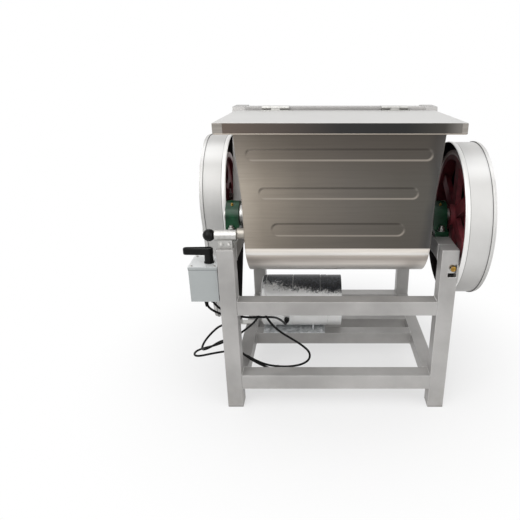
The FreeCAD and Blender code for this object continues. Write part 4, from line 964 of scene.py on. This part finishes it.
# %% Castings
for word in ("left", "right"):
    for kind in ("shaft", "countershaft"):
        softened(f"{word}_{kind}_bearing", "bearing_green", BEARING_GREEN, 2.2, 3)
WORN_BY = [
    (GEAR_RED, ["gear_wheel"]), (PULLEY_RED, ["driven_pulley"]), (MOTOR_PULLEY_RED, ["motor_pulley"]),
    (PINION_STEEL, ["drive_pinion"]), (BELT_RUBBER, ["drive_belts"]), (INNER_STEEL, ["agitator_bars"]),
    (BRIGHT_STEEL, ["countershaft", "left_stub_shaft", "right_drive_shaft", "bearing_inner_rings",
                    "motor_shaft", "cover_and_cord_fasteners", "lock_pin", "bearing_bolts", "flange_bolts"]),
    (BLACK_PLASTIC, ["motor_fan", "power_plug"]), (ZINC, ["motor_base"]), (MOTOR_METAL, ["motor_fan_cowl"])]
for material, names in WORN_BY:
    for node in names:
        NODES[node].data.materials.clear()
        NODES[node].data.materials.append(material)

# %% [markdown]
# Beside each shaft bearing a clamped collar keeps the shaft from creeping, and every housing has a grease
# nipple, screwed in at an angle so that a grease gun reaches it.

# %% Collars and grease nipples
for side, word in ((-1, "left"), (1, "right")):
    collar = [(0, 20.6), (0, 35.2), (0.8, 36), (7.4, 36), (8.2, 35.2), (8.2, 20.6)]
    collar_mesh = revolve(collar, spot(side * 295.1, 196, 596), (side, 0, 0), bore=True)
    add_piece(f"{word}_shaft_collar", collar_mesh, BRIGHT_STEEL, "agitator", "bright_steel")
    for kind, y in (("shaft", 196), ("countershaft", 422)):
        lean = math.radians(58)
        foot = spot(side * 325, y - 43.6 * math.cos(lean), 596 + 43.6 * math.sin(lean))
        nipple = [(0, 4.2), (2.6, 4.2), (3.0, 2.6), (5.0, 2.2), (6.0, 3.0), (7.6, 2.8), (8.6, 1.6), (8.8, 0)]
        nipple_mesh = revolve(nipple, foot, (0, -math.cos(lean), math.sin(lean)), 20)
        add_piece(f"{word}_{kind}_grease_nipple", nipple_mesh, BRASS, "frame", "bearing_green")

# %% [markdown]
# ## Bolts
#
# Every bolt head is the same idea: a hexagon on a washer. A tree places one on each point of a small mesh and
# turns it to the direction stored on that point.

# %% The bolt tree
WASHER = 0.0016
SIZES = ("Head Radius", "Head Height", "Stud Radius", "Stud Height")
bolt_tree, bolt_in, bolt_out = geometry_tree("hex_bolt", {
    **dict.fromkeys(SIZES, "NodeSocketFloat"), "Metal": "NodeSocketMaterial"})


def sized(operation, first, second):
    return step(bolt_tree, "ShaderNodeMath", {"operation": operation}, first, second).outputs[0]


def upright(sides, radius, depth, lift):
    """A cylinder of the bolt, lifted so that it stands where it should."""
    rod = step(bolt_tree, "GeometryNodeMeshCylinder", Vertices=sides, Radius=radius, Depth=depth)
    shift = step(bolt_tree, "ShaderNodeCombineXYZ", Z=lift)
    return step(bolt_tree, "GeometryNodeTransform", Geometry=rod.outputs[0], Translation=shift.outputs[0])


head_radius, head_height, stud_radius, stud_height = (bolt_in.outputs[label] for label in SIZES)
head_lift = sized("ADD", sized("MULTIPLY", head_height, 0.5), WASHER)
joined = bolt_tree.nodes.new("GeometryNodeJoinGeometry")
for part in (upright(6, head_radius, head_height, head_lift),
             upright(28, sized("MULTIPLY", head_radius, 1.22), WASHER, WASHER / 2),
             upright(20, stud_radius, stud_height, sized("MULTIPLY", stud_height, 0.5))):
    bolt_tree.links.new(part.outputs[0], joined.inputs[0])
facing = step(bolt_tree, "GeometryNodeInputNamedAttribute", {"data_type": "FLOAT_VECTOR"}, Name="facing")
aimed = step(bolt_tree, "FunctionNodeAlignRotationToVector", {"axis": "Z"}, Vector=facing.outputs[0])
set_out = step(bolt_tree, "GeometryNodeInstanceOnPoints", Points=bolt_in.outputs["Geometry"],
               Instance=joined.outputs[0], Rotation=aimed.outputs[0])
close_tree(bolt_tree, bolt_in, bolt_out, set_out)


# %% Bolts where the machine has them
def bolts(name, places, sizes, body="frame", *stands_for):
    """Bolts at (place, direction) pairs, with the four sizes of the tree in millimetres."""
    points = bpy.data.meshes.new(name + "_points")
    points.from_pydata([spot(*place) for place, _ in places], [], [])
    direction = points.attributes.new("facing", "FLOAT_VECTOR", "POINT")
    for k, (_, way) in enumerate(places):
        direction.data[k].vector = way
    inputs = {label: size / 1000 for label, size in zip(SIZES, sizes)}
    mesh = grown(name, points, bolt_tree, {**inputs, "Metal": BRIGHT_STEEL})
    smooth(mesh)
    piece = add_piece(name, mesh, BRIGHT_STEEL, body, "bright_steel", *stands_for)
    bevel = piece.modifiers.new("chamfer", "BEVEL")
    bevel.width, bevel.segments = 0.0007, 2
    bevel.limit_method, bevel.angle_limit = "ANGLE", math.radians(40)


flange_places = []
for side in (-1, 1):
    for quarter in range(4):
        turn = math.radians(30 + 90 * quarter)
        place = (side * 279, 196 + 66 * math.cos(turn), 596 + 66 * math.sin(turn))
        flange_places.append((place, (side, 0, 0)))
bolts("trough_flange_bolts", flange_places, (9.4, 4.2, 5.2, 7.0), "trough", "flange_bolts")
foot_places = [((side * 325, y + end * (half_length - 12), 562), (0, 0, 1))
               for side in (-1, 1) for y, half_length in ((196, 75), (422, 70)) for end in (-1, 1)]
bolts("bearing_foot_bolts", foot_places, (10.2, 8.4, 6.0, 17.0), "frame", "bearing_bolts")

# %% [markdown]
# ## The motor
#
# A small foot-mounted motor: a smooth rolled barrel between two cast end bells, each with its step and its
# through bolts. It is a turned shape, so one profile spun about the shaft gives it: out along the skin, and
# back along the inside of the wall, which leaves room for the rotor.

# %% Motor barrel
left_face = -268.0
barrel = [(0, 13.0), (0, 40), (3, 42), (3, 78), (6, 88), (10, 93), (16, 94.6), (22, 94.6), (22.6, 93.2),
          (24.6, 93.2), (25.2, 94.9), (118, 94.9), (118.6, 94.2), (120.6, 94.2), (121.2, 94.9), (218, 94.9),
          (218.6, 93.4), (221, 93.4), (221.6, 94.6), (240, 94.6), (245.6, 93.0), (245.6, 13.0)]
barrel += [(241, 13.0), (241, 89), (20, 89), (9, 76), (6, 40), (6, 13.0)]
barrel_mesh = revolve(barrel, spot(left_face, 350, 219), (1, 0, 0), 96, bore=True)
add_piece("motor_barrel", barrel_mesh, MOTOR_METAL, "frame", "motor_metal", "motor_housing")
through = [((left_face + 6, 350 + 80 * math.cos(a), 219 + 80 * math.sin(a)), (-1, 0, 0))
           for a in (math.radians(45 + 90 * k) for k in range(4))]
bolts("motor_through_bolts", through, (6.0, 4.0, 3.0, 6.5))
gland = [(0, 5.0), (1, 8.0), (9, 8.0), (10, 9.4), (21, 9.4)]
gland_mesh = revolve(gland, spot(-170, 243, 184), (0, 1, 0), 32)
add_piece("motor_lead_gland", gland_mesh, BLACK_PLASTIC, "frame", "black_plastic")

# %% [markdown]
# ## Lock, switch box and lever
#
# The lock is a short bright tube with a black ball on its pin, held by two bolts through its saddle. The box
# is folded sheet with a screwed lid on a dark gasket, and the lever is a moulded bar on a round boss. A brass
# bolt sits over the small window in the right post. Round things are turned, and the bar is its own outline
# at a few heights, drawn in a little at each edge as a mould needs.

# %% The small parts on the left
softened("lock_sleeve", "bright_steel", BRIGHT_STEEL, 1.0)
knob = [(0, 8.0), (0.6, 9.2), (3.5, 13.4), (8, 16.6), (14, 18.0), (20, 17.6), (26, 15.0), (31, 10.2),
        (33.4, 5.0), (34, 0)]
knob_mesh = revolve(knob, spot(-355.5, 25, 584), (-1, 0, 0), 48)
add_piece("lock_ball_knob", knob_mesh, BLACK_PLASTIC, "lock_plunger", "black_plastic", "lock_knob")
softened("switch_box", "box_paint", BOX_PAINT, 2.0, 3, 30, "switch_box_case")
plate("switch_box_gasket", (-438.5, 9.5, 480.4), (-353.5, 105.5, 481.9), 0.2, BELT_RUBBER, "frame",
      "belt_rubber")


def lever_outline():
    """The handle from above: a rounded grip that widens to the boss it turns on."""
    grip = arc(-449, 50, 9.5, [math.radians(90 + 15 * k) for k in range(13)])
    boss = arc(-383, 50, 14, [math.radians(-120 + 15 * k) for k in range(17)])
    return [point for point, _ in grip + boss]


def lever_mesh():
    """The grip's outline at each height, with a raised rim round a sunk top as a moulding has."""
    work = bmesh.new()
    outline = lever_outline()
    levels = []
    for inset, z in ((2.2, 516.0), (0.4, 517.5), (0, 520), (0, 532), (0.8, 535), (2.4, 536), (4.0, 535.4),
                     (4.6, 533.6)):
        level = []
        for k, (x, y) in enumerate(outline):
            before, after = outline[k - 1], outline[(k + 1) % len(outline)]
            run = Vector((after[0] - before[0], after[1] - before[1])).normalized()
            level.append(work.verts.new(spot(x - run.y * inset, y + run.x * inset, z)))
        levels.append(level)
    skin(work, levels)
    work.faces.new(list(reversed(levels[0])))
    work.faces.new(levels[-1])
    return closed_mesh(work, "lever")


add_piece("switch_lever_grip", lever_mesh(), BLACK_PLASTIC, "lever", "black_plastic", "switch_lever")
boss = [(0.4, 15.5), (2.4, 15.5), (3.2, 13.2), (27, 12.6), (28, 12)]
boss_mesh = revolve(boss, spot(-383, 50, 490), (0, 0, 1))
add_piece("switch_lever_boss", boss_mesh, BLACK_PLASTIC, "lever", "black_plastic")
saddle_places = [((x, 14.6, 558), (0, -1, 0)) for x in (-336, -314)]
bolts("lock_saddle_bolts", saddle_places, (5.6, 4.2, 3.0, 6.4))
screw_places = [((-396 + sx * 34, 57.5 + sy * 40, 490), (0, 0, 1)) for sx in (-1, 1) for sy in (-1, 1)]
bolts("switch_box_screws", screw_places, (3.4, 1.8, 1.4, 3.0))
brass = [(0, 8.6), (0.6, 9.3), (6.8, 9.3), (8.8, 8.2), (9.8, 5.4), (9.2, 4.6), (9.2, 0)]
brass_mesh = revolve(brass, spot(338, 12.6, 486), (0, -1, 0), 32)
add_piece("post_window_brass_bolt", brass_mesh, BRASS, "frame", "bright_steel")

# %% [markdown]
# ## Light and floor
#
# The picture is a product cut out on white. The world is white to the camera and to reflections, and lights
# the machine as a plain, dimmer room. The floor is white in the same way far from the machine, and near it
# keeps a part of its own shading, so that the machine stands in its shadow.

# %% Floor
floor_mesh = bpy.data.meshes.new("studio_floor")
floor_mesh.from_pydata([(-6, -6, 0), (6, -6, 0), (6, 6, 0), (-6, 6, 0)], [], [(0, 1, 2, 3)])
floor = bpy.data.objects.new("studio_floor", floor_mesh)
bpy.context.scene.collection.objects.link(floor)
floor_paint = Finish("studio_floor_white", Roughness=0.9, Base_Color=(0.82, 0.82, 0.82, 1))
distance = (floor_paint.axis("X") ** 2.0 + floor_paint.axis("Y") ** 2.0) ** 0.5
rays = floor_paint.add("ShaderNodeLightPath").socket.node.outputs
looked_at = Wire(floor_paint, rays["Is Camera Ray"]) + Wire(floor_paint, rays["Is Glossy Ray"])
shown = looked_at + Wire(floor_paint, rays["Is Transmission Ray"])
paper = floor_paint.add("ShaderNodeEmission", None, (1, 1, 1, 1), 1.0)
fade = shown * (0.6 + floor_paint.band(distance, 0.35, 0.95) * 0.4)
matt = Wire(floor_paint, floor_paint.shader.outputs[0])
surface = floor_paint.add("ShaderNodeMixShader", None, fade, matt, paper)
floor_paint.tree.links.new(surface.socket, floor_paint.tree.nodes["Material Output"].inputs[0])
floor_mesh.materials.append(floor_paint.material)

# %% World and lamps
world = bpy.data.worlds.new("studio")
bpy.context.scene.world = world
world.use_nodes = True
sky = world.node_tree
sky.nodes.clear()
room = step(sky, "ShaderNodeBackground", Color=(1, 1, 1, 1), Strength=0.5)
paper = step(sky, "ShaderNodeBackground", Color=(1, 1, 1, 1), Strength=1.0)
seen = step(sky, "ShaderNodeLightPath")
either = step(sky, "ShaderNodeMath", {"operation": "MAXIMUM"}, seen.outputs["Is Camera Ray"],
              seen.outputs["Is Glossy Ray"])
through = step(sky, "ShaderNodeMath", {"operation": "MAXIMUM"}, either.outputs[0],
               seen.outputs["Is Transmission Ray"])
switch = step(sky, "ShaderNodeMixShader", None, through.outputs[0], room.outputs[0], paper.outputs[0])
step(sky, "ShaderNodeOutputWorld", Surface=switch.outputs[0])


def lamp(name, place, size, power, target=(0, 0, 0.5)):
    light = bpy.data.lights.new(name, "AREA")
    light.shape, light.size, light.energy = "SQUARE", size, power
    holder = bpy.data.objects.new(name, light)
    holder.location = place
    holder.rotation_euler = (Vector(target) - Vector(place)).to_track_quat("-Z", "Y").to_euler()
    bpy.context.scene.collection.objects.link(holder)


lamp("key_softbox", (-1.6, -2.6, 2.6), 2.6, 52)
lamp("fill_softbox", (2.4, -2.0, 1.8), 2.6, 28)
lamp("top_softbox", (-0.4, -0.7, 3.1), 3.4, 32)
bpy.context.scene.view_settings.view_transform = "Standard"
